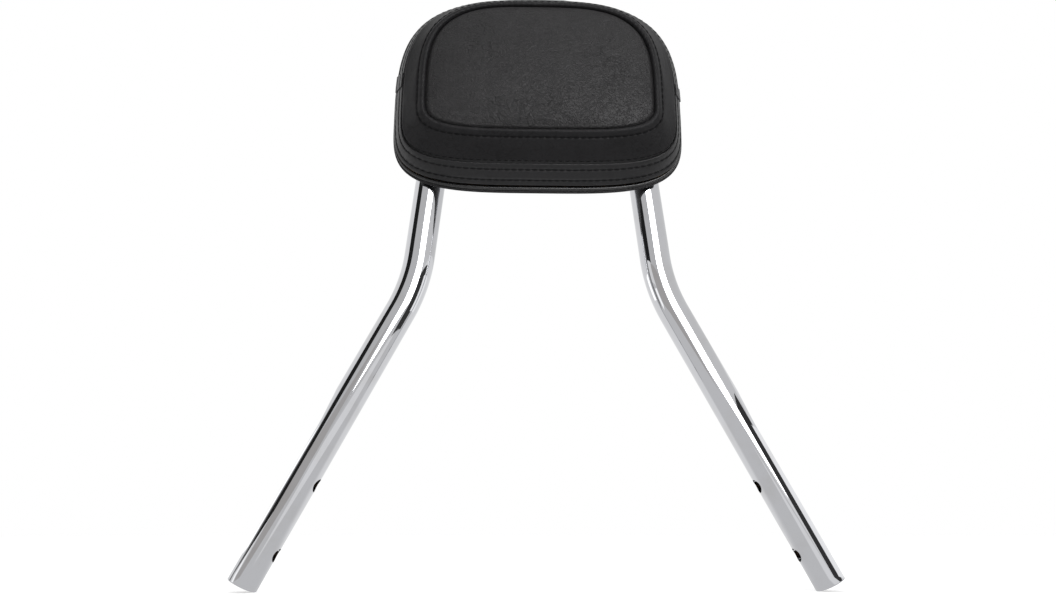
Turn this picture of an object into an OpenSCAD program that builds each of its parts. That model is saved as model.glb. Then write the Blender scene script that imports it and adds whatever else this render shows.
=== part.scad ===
// Motorcycle sissy bar: a bent chrome tube hoop with a padded backrest
// Millimetres. Z up and the pad faces -Y. Left and right are as seen facing the pad, with +X to the right.
// The leg ends stand at Z = 0 and the hoop is symmetric about X = 0.

/* [Hoop] */
// Outside diameter of the tube
tube_od = 25.4; // [22:0.2:28]
// Wall thickness of the tube
tube_wall = 2.5; // [1.5:0.1:3]
// Overall height from the leg ends to the top of the hoop
bar_height = 516; // [500:1:540]
// Distance between the tube centres at the leg ends
leg_spread = 446; // [420:2:470]
// Lean of the lower legs from upright
leg_splay = 27.4; // [25:0.2:29]
// Lean of the upper legs from upright
upper_lean = 6; // [4:0.5:8]
// Height of the corner where upper and lower leg meet
knee_height = 240; // [230:1:250]
// Radius of the knee bend, at the tube centre
knee_radius = 135; // [80:5:150]
// Size of the broken edge at the leg ends
end_chamfer = 0.8; // [0.4:0.1:1.2]

/* [Leg mounting] */
// Diameter of the bolt holes through each leg
bolt_hole_d = 11; // [8:0.5:12]
// Distance from the leg end to the first hole
first_hole = 30; // [25:1:40]
// Distance between the two holes of a leg
hole_pitch = 58; // [50:1:65]
// Depth pressed in on the outer side of the lower leg
flat_depth = 3; // [2:0.2:4]
// Length of the full-depth flat, from the leg end
flat_length = 128; // [118:1:135]
// Length over which the flat runs out
flat_runout = 34; // [20:1:40]

/* [Straps] */
// Width of each cross strap
strap_w = 25; // [20:1:28]
// Thickness of each cross strap
strap_t = 4; // [3:0.5:6]
// Depth of the saddle that seats the strap on the tube
saddle_depth = 2; // [1:0.1:2.5]
// Upper strap above the widest level of the pad
upper_strap_rise = 35; // [28:1:36]
// Lower strap below the widest level of the pad
lower_strap_drop = 30; // [24:1:34]
// Leg of the weld bead at each strap end
weld_leg = 3.2; // [2:0.2:4]

/* [Pad] */
// Width of the pad at its widest
pad_w = 248; // [230:2:260]
// Top of the pad above its widest level
pad_rise = 116; // [108:1:122]
// Bottom of the pad below its widest level
pad_drop = 62.5; // [58:0.5:68]
// Gap from the top of the hoop down to the pad
pad_below_top = 19.5; // [15:0.5:25]
// Squareness of the upper half of the outline
top_square = 3.1; // [2.8:0.1:3.6]
// Squareness of the lower half of the outline
bottom_square = 3.9; // [3.4:0.1:4.6]
// Thickness of the base board
board_t = 9; // [8:0.5:12]
// Depth of the boxing strip, front to back
boxing_depth = 20.2; // [16:0.2:24]
// How much smaller the front edge of the boxing is, each side
boxing_taper = 11.4; // [9:0.1:14]
// How much fuller the front seam is at the sides than above and below
side_fullness = 2.4; // [1:0.1:3]
// Depth of the sloping border, front to back
border_depth = 20; // [16:0.2:24]
// Width of the sloping border, each side
border_w = 18.7; // [16:0.1:20]
// Height of the raised edge along the centre seam
ridge_h = 0.9; // [0.4:0.1:1.4]
// Rise of the centre panel from its seam to its crown
panel_crown = 6; // [3:0.5:9]
// Thickness of the padded vinyl skin
skin_t = 1.2; // [0.8:0.1:1.6]
// Height of the back cover's rolled edge, in front of the board's back
lip_h = 2.4; // [1.6:0.2:3]
// Diameter of the welt cord round the back edge
welt_d = 4.4; // [3:0.2:5]

/* [Fasteners] */
// Diameter of the pad screws
screw_d = 6; // [5:0.5:6]
// Length of the pad screws under the head
screw_l = 16; // [15:0.5:17]
// Share of the way from the middle to the tube where the screws sit
screw_share = 0.54; // [0.48:0.01:0.6]
// Diameter of the screw heads
screw_head_d = 10.5; // [9.6:0.1:12]
// Height of the screw heads
screw_head_h = 3.3; // [2.8:0.1:3.6]
// Across flats of the socket in the heads
socket_af = 4; // [3:0.5:4.5]
// Outside diameter of the flat washers
washer_d = 12.5; // [12:0.5:16]
// Thickness of the flat and the spring washers
washer_t = 1.6; // [1:0.1:1.8]
// Flange diameter of the tee nuts
tee_flange_d = 18; // [15:0.5:20]
// Flange thickness of the tee nuts
tee_flange_t = 1.5; // [1:0.1:2]

/* [Hidden] */
// Clearances: painted or welded faces, loose holes, soft goods, screw in its nut
weld_gap = 0.05;
hole_gap = 0.3;
soft_gap = 0.2;
thread_gap = 0.05;
// A bend draws the tube down a little, and the straight stretches run a little way into it
bend_draw = 0.04;
bend_lap = 0.6;
round_fn = 96;
pad_steps = 64;

// Depths run forward from the plane of the tube centres, towards the pad
strap_back = tube_od / 2 - saddle_depth;
strap_front = strap_back + strap_t;
cover_back = strap_front + hole_gap;
board_back = cover_back + skin_t;
board_front = board_back + board_t;
welt_depth = board_back + lip_h + soft_gap + welt_d / 2;
boxing_back = welt_depth + welt_d / 2 + soft_gap;
seam_depth = boxing_back + boxing_depth;
panel_seam = seam_depth + border_depth;
panel_edge = panel_seam - 1;
pad_front = panel_edge + 1.4 + panel_crown;
// The plane of the tube centres, set so that the depth is centred on Y = 0
bar_y = (pad_front - tube_od / 2) / 2;

// Insets from the largest outline of the pad
boxing_in = 1.9;
board_in = welt_d + soft_gap;
seam_in = boxing_in + boxing_taper;
ridge_in = seam_in + border_w - 1;
panel_in = seam_in + border_w + soft_gap;

// Hoop geometry in its own plane
tube_r = tube_od / 2;
bore_r = tube_r - tube_wall;
end_z = (tube_r - end_chamfer) * sin(leg_splay);
end_x = leg_spread / 2;
leg_len = (knee_height - end_z) / cos(leg_splay);
knee_x = end_x - leg_len * sin(leg_splay);
top_z = bar_height - tube_r;
arch_z = (top_z - knee_x * cos(upper_lean) - knee_height * sin(upper_lean)) / (1 - sin(upper_lean));
arch_r = top_z - arch_z;
knee_setback = knee_radius * tan((leg_splay - upper_lean) / 2);
knee_top = [knee_x - knee_setback * sin(upper_lean), knee_height + knee_setback * cos(upper_lean)];
knee_low = [knee_x + knee_setback * sin(leg_splay), knee_height - knee_setback * cos(leg_splay)];
arch_end = [arch_r * cos(upper_lean), arch_z + arch_r * sin(upper_lean)];
upper_len = norm(arch_end - knee_top);
lower_len = leg_len - knee_setback;

// Pad placing
pad_mid_z = bar_height - pad_below_top - pad_rise;
panel_mid_z = pad_mid_z + (pad_rise - pad_drop) / 2;
strap_z = [pad_mid_z + upper_strap_rise, pad_mid_z - lower_strap_drop];
side_joint_z = pad_mid_z + pad_rise / 4;

// Distance from the middle to the tube's centre line at a height on the upper legs
function side_x(z) = knee_x - (z - knee_height) * tan(upper_lean);

screw_x = screw_share * side_x(strap_z[0]);

// Finishes
chrome = [0.78, 0.79, 0.81];
steel = [0.62, 0.64, 0.67];
vinyl = [0.13, 0.13, 0.14];
vinyl_edge = [0.09, 0.09, 0.1];
foam_grey = [0.55, 0.55, 0.5];
birch = [0.72, 0.58, 0.4];

// Helpers: places and frames

// Puts children at the plane of the tube centres
module on_bar_plane() {
    translate([0, bar_y, 0])
        children();
}

// Frame of a lower leg: +Z runs up the leg from its end, +X points to the outer side
module on_leg_end(side) {
    on_bar_plane()
        mirror([side < 0 ? 1 : 0, 0, 0])
            translate([end_x, 0, end_z])
                rotate([0, -leg_splay, 0])
                    children();
}

// Frame of a pad screw: +Z points forward into the pad from the plane of the tube centres
module on_screw(row, side) {
    translate([side * screw_x, bar_y, strap_z[row]])
        rotate([90, 0, 0])
            children();
}

// Helpers: the hoop as a solid rod of one radius

// A straight rod in the hoop's plane, from a point and with a lean from upright
module straight_rod(start, lean, length, r) {
    translate([start[0], 0, start[1]])
        rotate([0, lean, 0])
            cylinder(h = length, r = r, $fn = round_fn);
}

// A bent rod in the hoop's plane, round a centre, from one angle over a sweep
module bent_rod(centre, radius, from, sweep, r) {
    translate([centre[0], 0, centre[1]])
        rotate([90, 0, 0])
            rotate([0, 0, from])
                rotate_extrude(angle = sweep, $fn = round_fn)
                    translate([radius, 0])
                        circle(r = r - bend_draw, $fn = round_fn);
}

// One side of the hoop, from the arch down to the leg end
module side_rod(r, extra) {
    up = [-sin(upper_lean), cos(upper_lean)];
    down = [sin(leg_splay), -cos(leg_splay)];
    straight_rod(knee_top - bend_lap * up, -upper_lean, upper_len + 2 * bend_lap, r);
    bent_rod(knee_top + knee_radius * [cos(upper_lean), sin(upper_lean)], knee_radius,
        180 + upper_lean, leg_splay - upper_lean, r);
    straight_rod(knee_low - bend_lap * down, 180 - leg_splay, lower_len + bend_lap + extra, r);
}

// The whole hoop as one rod, its legs lengthened by extra
module hoop_rod(r, extra = 0) {
    bent_rod([0, arch_z], arch_r, upper_lean, 180 - 2 * upper_lean, r);
    side_rod(r, extra);
    mirror([1, 0, 0])
        side_rod(r, extra);
}

// Fraction of the flat that is pressed in, over its run-out
function flat_ease(u) = (1 + cos(180 * u)) / 2;

// What the press takes off the outer side of a leg, at a wall distance further in
module flat_cutter(inner) {
    steps = 12;
    deep = tube_r - flat_depth - inner;
    side = tube_r + 1;
    rise = flat_depth + 0.4;
    profile = concat(
        [[side, -1], [deep, -1]],
        [for (i = [0 : steps])
            [deep + rise * (1 - flat_ease(i / steps)), flat_length + flat_runout * i / steps]],
        [[side, flat_length + flat_runout]]
    );
    rotate([90, 0, 0])
        linear_extrude(height = tube_od + 2, center = true)
            polygon(profile);
}

// The wedge that breaks the outer edge of a leg end
module end_edge_cutter() {
    difference() {
        translate([0, 0, -1])
            cylinder(h = 1 + end_chamfer, r = tube_r + 1, $fn = round_fn);
        translate([0, 0, -1])
            cylinder(h = 1 + end_chamfer, r1 = tube_r - end_chamfer - 1, r2 = tube_r, $fn = round_fn);
    }
}

// Sub-parts of the frame

// The bent tube: arch, two knees, splayed legs with a pressed flat and two bolt holes each
module bar_tube() {
    color(chrome)
        difference() {
            on_bar_plane()
                hoop_rod(tube_r);
            difference() {
                on_bar_plane()
                    hoop_rod(bore_r, 2);
                for (side = [-1, 1])
                    on_leg_end(side)
                        flat_cutter(tube_wall);
            }
            for (side = [-1, 1])
                on_leg_end(side) {
                    flat_cutter(0);
                    end_edge_cutter();
                    for (hole = [0, 1])
                        translate([0, 0, first_hole + hole * hole_pitch])
                            rotate([0, 90, 0])
                                cylinder(h = tube_od + 4, d = bolt_hole_d, center = true, $fn = round_fn);
                }
        }
}

// Half the length of a strap: it ends just past the front line of the tube
function strap_half(z) = side_x(z) + tube_r * 0.6;

// Where the back face of a strap meets the inner side of the tube
function weld_x(z) = side_x(z) - sqrt(pow(tube_r, 2) - pow(strap_back, 2)) / cos(upper_lean);

// A cross strap welded to the front of the hoop, with a saddle and a bead at each end
module cross_strap(row) {
    z = strap_z[row];
    color(chrome)
        difference() {
            union() {
                translate([-strap_half(z), bar_y - strap_front, z - strap_w / 2])
                    cube([2 * strap_half(z), strap_t, strap_w]);
                for (side = [-1, 1])
                    translate([side * weld_x(z), bar_y - strap_back, z])
                        rotate([0, -side * upper_lean, 0])
                            cylinder(h = strap_w - 3, r = weld_leg, center = true, $fn = 32);
            }
            on_bar_plane()
                hoop_rod(tube_r + weld_gap);
            translate([-pad_w / 2, bar_y - strap_front - 2 * weld_leg, z - strap_w])
                cube([pad_w, 2 * weld_leg, 2 * strap_w]);
            for (side = [-1, 1])
                on_screw(row, side)
                    translate([0, 0, strap_back - weld_leg - 1])
                        cylinder(h = strap_t + weld_leg + 2, d = screw_d + 2 * hole_gap, $fn = round_fn);
        }
}

// Helpers: the pad's outline and its sweeps

// A power that keeps the sign of its base
function signed_power(value, exponent) = sign(value) * pow(abs(value), exponent);

// The inset as it counts at the sides, where the front seam stands a little further out
function side_inset(inset) = inset - side_fullness * sin(180 * max(0, min(1, inset / panel_in)));

// One point of the pad's outline, set in by inset, as [x, z]
function outline_point(k, inset) =
    let (a = 360 * k / pad_steps,
        upper = sin(a) >= 0,
        reach = (upper ? pad_rise : pad_drop) - inset,
        square = upper ? top_square : bottom_square)
    [(pad_w / 2 - side_inset(inset)) * signed_power(cos(a), 2 / square),
        pad_mid_z + reach * signed_power(sin(a), 2 / square)];

// The outline as a list of points
function outline(inset) = [for (k = [0 : pad_steps - 1]) outline_point(k, inset)];

// One point of the outline shrunk by a scale towards the middle of the panel
function shrunk_point(k, inset, scale) =
    let (p = outline_point(k, inset))
    [p[0] * scale, panel_mid_z + (p[1] - panel_mid_z) * scale];

// Side faces between ring i and the next ring j
function band_faces(i, j) = [for (k = [0 : pad_steps - 1])
    let (next = (k + 1) % pad_steps)
    [i * pad_steps + k, i * pad_steps + next, j * pad_steps + next, j * pad_steps + k]];

// A ring that follows the outline, with a closed section of [inset, depth] points
module ring_sweep(section) {
    count = len(section);
    points = [for (s = section) for (k = [0 : pad_steps - 1])
        let (p = outline_point(k, s[0]))
        [p[0], bar_y - s[1], p[1]]];
    faces = [for (i = [0 : count - 1]) each band_faces(i, (i + 1) % count)];
    polyhedron(points = points, faces = faces, convexity = 6);
}

// A solid cushion through rings of [inset, depth, scale], from front to back
module cushion_sweep(rings) {
    count = len(rings);
    points = [for (r = rings) for (k = [0 : pad_steps - 1])
        let (p = shrunk_point(k, r[0], r[2]))
        [p[0], bar_y - r[1], p[1]]];
    faces = concat(
        [[for (k = [pad_steps - 1 : -1 : 0]) k]],
        [for (i = [0 : count - 2]) each band_faces(i, i + 1)],
        [[for (k = [0 : pad_steps - 1]) (count - 1) * pad_steps + k]]
    );
    polyhedron(points = points, faces = faces, convexity = 6);
}

// A flat sheet or board with the outline, between two depths
module outline_plate(inset, back, front) {
    translate([0, bar_y - back, 0])
        rotate([90, 0, 0])
            linear_extrude(height = front - back)
                polygon(outline(inset));
}

// The four holes through the pad's back, of one diameter
module screw_holes(d, back, front) {
    for (row = [0, 1], side = [-1, 1])
        on_screw(row, side)
            translate([0, 0, back])
                cylinder(h = front - back, d = d, $fn = round_fn);
}

// Depth of the centre panel's face at a fraction of its width
function crown(scale) = panel_edge + 1.4 + panel_crown * (1 - pow(scale, 2.2));

// Sub-parts of the pad

// Vinyl cover of the back, rolled forward round the board's edge
module back_cover() {
    lip = board_back + lip_h;
    inner = board_in - soft_gap;
    color(vinyl_edge)
        difference() {
            union() {
                outline_plate(inner - 1, cover_back, board_back);
                ring_sweep([
                    [inner, lip - 0.3], [inner - 1.2, lip], [inner - 2.6, lip - 0.1], [0.8, lip - 0.9],
                    [0.5, board_back + 0.5], [0.9, cover_back + 0.7], [1.6, cover_back + 0.2],
                    [2.4, cover_back], [inner, cover_back], [inner, board_back]
                ]);
            }
            screw_holes(screw_d + 4 * hole_gap, cover_back - 1, board_back + 1);
        }
}

// Plywood base board with stepped holes for the tee nuts
module base_board() {
    color(birch)
        difference() {
            outline_plate(board_in, board_back, board_front);
            screw_holes(screw_d + 2.2 + 2 * thread_gap, board_back - 1, board_front + 1);
            screw_holes(tee_flange_d + 2 * hole_gap, board_front - tee_flange_t, board_front + 1);
        }
}

// Foam cushion that fills the cover in front of the board
module foam_core() {
    inner = skin_t + soft_gap;
    color(foam_grey)
        cushion_sweep(concat(
            [for (s = [0.12, 0.4, 0.65, 0.85, 0.96]) [panel_in + inner, crown(s) - inner, s]],
            [
                [panel_in + inner, panel_edge - inner, 1],
                [seam_in + border_w / 2 + inner / 2, seam_depth + border_depth * 0.56 - inner, 1],
                [seam_in + inner, seam_depth - inner * 0.4, 1],
                [boxing_in + boxing_taper * 0.42 + inner, boxing_back + boxing_depth / 2, 1],
                [board_in, board_front, 1]
            ]
        ));
}

// Crowned centre panel of grained vinyl, dipped into its seam
module centre_panel() {
    front = [0.1, 0.32, 0.54, 0.74, 0.88, 0.97];
    back = [0.97, 0.88, 0.74, 0.54, 0.32, 0.1];
    color(vinyl)
        cushion_sweep(concat(
            [for (s = front) [panel_in, crown(s), s]],
            [[panel_in, panel_edge + 0.9, 0.99], [panel_in, panel_edge, 1], [panel_in, panel_edge - 0.9, 1]],
            [for (s = back) [panel_in, crown(s) - skin_t, s]]
        ));
}

// Sloping border round the panel, with its folded edge raised along the seam
module border_panel() {
    mid_in = seam_in + border_w / 2;
    mid_depth = seam_depth + border_depth * 0.56;
    color(vinyl)
        ring_sweep([
            [panel_in - soft_gap, panel_edge], [panel_in - 0.6, panel_seam + ridge_h * 0.6],
            [ridge_in, panel_seam + ridge_h], [ridge_in - 1.6, panel_seam + ridge_h * 0.2],
            [ridge_in - 4, panel_seam - 2.4], [mid_in - 0.3, mid_depth + 0.2],
            [seam_in + 4, seam_depth + 6.2], [seam_in + 0.5, seam_depth + 0.9], [seam_in + 0.2, seam_depth + 0.1],
            [seam_in + skin_t, seam_depth - 0.2], [mid_in + 0.5, mid_depth - skin_t],
            [panel_in - 1.8, panel_edge - skin_t]
        ]);
}

// Closed section of the boxing strip, moved outward by lift
function boxing_section(lift) = [
    [seam_in + 0.2 - lift, seam_depth], [boxing_in + boxing_taper * 0.82 - lift, boxing_back + boxing_depth * 0.8],
    [boxing_in + boxing_taper * 0.42 - lift, boxing_back + boxing_depth / 2],
    [boxing_in + boxing_taper * 0.12 - lift, boxing_back + boxing_depth * 0.2],
    [boxing_in + 0.1 - lift, boxing_back + 0.6], [boxing_in + 0.7 - lift, boxing_back],
    [boxing_in + skin_t - lift, boxing_back + 0.5],
    [boxing_in + boxing_taper * 0.42 + skin_t - lift, boxing_back + boxing_depth / 2],
    [seam_in + skin_t - lift, seam_depth - 0.5]
];

// The part of the boxing strip above or below the side joint
module boxing_part(upper) {
    reach = pad_w;
    base = upper ? side_joint_z + soft_gap / 2 : side_joint_z - soft_gap / 2 - reach;
    color(vinyl)
        intersection() {
            ring_sweep(boxing_section(0));
            translate([-reach, bar_y - pad_front, base])
                cube([2 * reach, pad_front, reach]);
        }
}

// The lapped end of the boxing, as a tab over the joint on one side
module joint_tab(side, low, high) {
    lift = skin_t * 0.7;
    cover = 0.15;
    color(vinyl_edge)
        intersection() {
            difference() {
                ring_sweep(boxing_section(cover + lift));
                ring_sweep([for (s = boxing_section(cover)) s]);
            }
            translate([side < 0 ? -pad_w : 0, bar_y - seam_depth + 1, low])
                cube([pad_w, boxing_depth - 2, high - low]);
        }
}

// Welt cord in the gap between the boxing and the back cover
module welt_cord() {
    steps = 10;
    r = welt_d / 2;
    color(vinyl_edge)
        ring_sweep([for (i = [0 : steps - 1])
            [r * (1 - cos(360 * i / steps)), welt_depth + r * sin(360 * i / steps)]]);
}

// Fasteners

// Button head screw with a hexagon socket
module pad_screw(row, side) {
    seat = strap_back - 2 * washer_t;
    color(steel)
        on_screw(row, side)
            difference() {
                union() {
                    translate([0, 0, seat])
                        cylinder(h = screw_l, d = screw_d - 2 * thread_gap, $fn = round_fn);
                    translate([0, 0, seat - screw_head_h])
                        cylinder(h = screw_head_h * 0.7, d1 = screw_head_d * 0.62, d2 = screw_head_d,
                            $fn = round_fn);
                    translate([0, 0, seat - screw_head_h * 0.3])
                        cylinder(h = screw_head_h * 0.3, d = screw_head_d, $fn = round_fn);
                }
                translate([0, 0, seat - screw_head_h - 1])
                    cylinder(h = 1 + screw_head_h * 0.6, d = socket_af / cos(30), $fn = 6);
            }
}

// Split spring washer
module spring_washer(row, side) {
    seat = strap_back - 2 * washer_t;
    color(steel)
        on_screw(row, side)
            translate([0, 0, seat])
                difference() {
                    cylinder(h = washer_t, d = screw_head_d + 0.6, $fn = round_fn);
                    translate([0, 0, -1])
                        cylinder(h = washer_t + 2, d = screw_d + hole_gap, $fn = round_fn);
                    rotate([0, 0, 90])
                        translate([0, -0.5, -1])
                            cube([screw_head_d, 1, washer_t + 2]);
                }
}

// Flat washer against the strap
module flat_washer(row, side) {
    color(steel)
        on_screw(row, side)
            translate([0, 0, strap_back - washer_t])
                difference() {
                    cylinder(h = washer_t, d = washer_d, $fn = round_fn);
                    translate([0, 0, -1])
                        cylinder(h = washer_t + 2, d = screw_d + hole_gap, $fn = round_fn);
                }
}

// Tee nut sunk in the front of the board
module tee_nut(row, side) {
    color(steel)
        on_screw(row, side)
            difference() {
                union() {
                    translate([0, 0, board_front - tee_flange_t])
                        cylinder(h = tee_flange_t, d = tee_flange_d, $fn = round_fn);
                    translate([0, 0, board_back + 0.8])
                        cylinder(h = board_t - 0.8 - tee_flange_t / 2, d = screw_d + 2.2, $fn = round_fn);
                }
                translate([0, 0, board_back - 1])
                    cylinder(h = board_t + 2, d = screw_d, $fn = round_fn);
            }
}

// Rows: 0 is the upper strap and 1 the lower strap
bar_tube();
cross_strap(0);  // upper_strap
cross_strap(1);  // lower_strap
back_cover();
base_board();
foam_core();
centre_panel();
border_panel();
boxing_part(true);  // boxing_upper
boxing_part(false);  // boxing_lower
joint_tab(-1, side_joint_z - 3, side_joint_z + 13);  // joint_tab_left
joint_tab(1, side_joint_z - 8, side_joint_z + 3);  // joint_tab_right
welt_cord();
pad_screw(0, -1);  // screw_upper_left
pad_screw(0, 1);  // screw_upper_right
pad_screw(1, -1);  // screw_lower_left
pad_screw(1, 1);  // screw_lower_right
spring_washer(0, -1);  // spring_washer_upper_left
spring_washer(0, 1);  // spring_washer_upper_right
spring_washer(1, -1);  // spring_washer_lower_left
spring_washer(1, 1);  // spring_washer_lower_right
flat_washer(0, -1);  // flat_washer_upper_left
flat_washer(0, 1);  // flat_washer_upper_right
flat_washer(1, -1);  // flat_washer_lower_left
flat_washer(1, 1);  // flat_washer_lower_right
tee_nut(0, -1);  // tee_nut_upper_left
tee_nut(0, 1);  // tee_nut_upper_right
tee_nut(1, -1);  // tee_nut_lower_left
tee_nut(1, 1);  // tee_nut_lower_right
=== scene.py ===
"""Looks of a motorcycle sissy bar, a bent chrome hoop with a padded backrest, built round its frame."""

import logging
import math
from dataclasses import dataclass, field
from enum import Enum
from typing import Callable, Iterable, Optional, Sequence, Union

import bpy
import numpy as np
from mathutils import Matrix, Vector, noise


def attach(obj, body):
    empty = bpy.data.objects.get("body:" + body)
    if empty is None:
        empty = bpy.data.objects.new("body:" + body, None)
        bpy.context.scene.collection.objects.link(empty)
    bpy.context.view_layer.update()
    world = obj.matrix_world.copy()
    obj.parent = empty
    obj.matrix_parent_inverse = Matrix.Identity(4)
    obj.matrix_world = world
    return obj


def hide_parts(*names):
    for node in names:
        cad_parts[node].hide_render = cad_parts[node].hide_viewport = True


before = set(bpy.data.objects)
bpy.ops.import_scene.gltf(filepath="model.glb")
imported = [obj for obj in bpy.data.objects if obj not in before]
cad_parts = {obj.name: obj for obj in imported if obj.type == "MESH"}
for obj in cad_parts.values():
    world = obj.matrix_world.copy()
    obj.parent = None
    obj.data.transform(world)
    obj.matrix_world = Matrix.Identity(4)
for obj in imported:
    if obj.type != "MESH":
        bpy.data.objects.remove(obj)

LOG = logging.getLogger("sissy_bar")
MM = 0.001
BODY = "root"
BAR_Y = 28.65 * MM
SKIN = 1.2 * MM
SCREW_X = 44.81 * MM
STRAP_ROWS = (("upper", 415.5 * MM), ("lower", 350.5 * MM))
SIDES = ((-1, "left"), (1, "right"))
ALONG_Y = (math.pi / 2, 0, 0)
STITCH = 5.6 * MM
Colour = tuple[float, float, float]
Term = Union["Field", float]


def spline(knots: np.ndarray, values: np.ndarray, wanted: np.ndarray) -> np.ndarray:
    """Read a smooth line through values at knots.

    Args:
        knots: Rising places of the values.
        values: Values at the knots, along the first axis.
        wanted: Places to read.

    Returns:
        The values at the wanted places.
    """
    slope = np.gradient(values, knots, axis=0)
    i = np.clip(np.searchsorted(knots, wanted, side="right") - 1, 0, len(knots) - 2)
    step = knots[i + 1] - knots[i]
    s = (wanted - knots[i]) / step
    shape = (-1,) + (1,) * (values.ndim - 1)
    s, step = s.reshape(shape), step.reshape(shape)
    return (
        (1 + 2 * s) * (1 - s) ** 2 * values[i]
        + s * (1 - s) ** 2 * step * slope[i]
        + s * s * (3 - 2 * s) * values[i + 1]
        + s * s * (s - 1) * step * slope[i + 1]
    )


def ease(value: np.ndarray) -> np.ndarray:
    """Turn a share from 0 to 1 into a smooth one."""
    t = np.clip(value, 0, 1)
    return t * t * (3 - 2 * t)


def ripple(points: np.ndarray, pitch: float, shift: float = 0.0) -> np.ndarray:
    """Read smooth noise at points.

    Args:
        points: Rows of x, y, z in metres.
        pitch: Size of the noise's lumps in metres.
        shift: Moves the pattern, so that two don't agree.

    Returns:
        One value from about -1 to 1 for each point.
    """
    move = Vector((shift, -shift, 0.5 * shift))
    return np.array([noise.noise(Vector(p) / pitch + move) for p in points])


# Shader writing


class Field:
    """One output of a shader node, on which arithmetic adds Math nodes."""

    def __init__(self, tree: "NodeTree", socket: bpy.types.NodeSocket) -> None:
        """Keep the tree and the socket."""
        self.tree = tree
        self.socket = socket

    def maths(self, operation: str, *values: Term) -> "Field":
        """Add a Math node.

        Args:
            operation: The node's operation.
            values: The inputs, in order.

        Returns:
            The node's output.
        """
        made = self.tree.node("ShaderNodeMath", {"operation": operation}, dict(enumerate(values)))
        return Field(self.tree, made.outputs[0])

    def __add__(self, other: Term) -> "Field":
        """Add."""
        return self.maths("ADD", self, other)

    def __sub__(self, other: Term) -> "Field":
        """Subtract."""
        return self.maths("SUBTRACT", self, other)

    def __rsub__(self, other: float) -> "Field":
        """Subtract from a number."""
        return self.maths("SUBTRACT", other, self)

    def __mul__(self, other: Term) -> "Field":
        """Multiply."""
        return self.maths("MULTIPLY", self, other)

    def between(self, low: float, high: float) -> "Field":
        """Turn a stretch of the values into a smooth 0 to 1.

        Args:
            low: Value that becomes 0.
            high: Value that becomes 1.

        Returns:
            The node's output.
        """
        limits = {"Value": self, "From Min": low, "From Max": high}
        made = self.tree.node("ShaderNodeMapRange", {"interpolation_type": "SMOOTHSTEP"}, limits)
        return Field(self.tree, made.outputs[0])


class NodeTree:
    """The calls that write and wire the nodes of one tree."""

    def __init__(self, tree: bpy.types.NodeTree) -> None:
        """Keep the tree and empty it."""
        self.tree = tree
        tree.nodes.clear()

    def node(
        self,
        kind: str,
        settings: Optional[dict[str, object]] = None,
        inputs: Optional[dict[Union[str, int], object]] = None,
    ) -> bpy.types.Node:
        """Add a node.

        Args:
            kind: The node's type name.
            settings: Attributes of the node, set before its sockets.
            inputs: Values or links by socket name, identifier or number.

        Returns:
            The node.
        """
        made = self.tree.nodes.new(kind)
        for key, value in (settings or {}).items():
            setattr(made, key, value)
        for key, value in (inputs or {}).items():
            self.wire(self.socket(made, key), value)
        return made

    @staticmethod
    def socket(made: bpy.types.Node, key: Union[str, int]) -> bpy.types.NodeSocket:
        """Find an input of a node.

        Args:
            made: The node.
            key: The input's number, identifier or name.

        Returns:
            The input.
        """
        if isinstance(key, int):
            return made.inputs[key]
        return next((s for s in made.inputs if s.identifier == key), None) or made.inputs[key]

    def wire(self, socket: bpy.types.NodeSocket, value: object) -> None:
        """Link an input or set a plain value on it.

        Args:
            socket: The input.
            value: A field or an output to link, or the plain value.
        """
        source = value.socket if isinstance(value, Field) else value
        if isinstance(source, bpy.types.NodeSocket):
            self.tree.links.new(source, socket)
        elif socket.type == "RGBA" and len(source) == 3:
            socket.default_value = (*source, 1)
        else:
            socket.default_value = source


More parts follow.
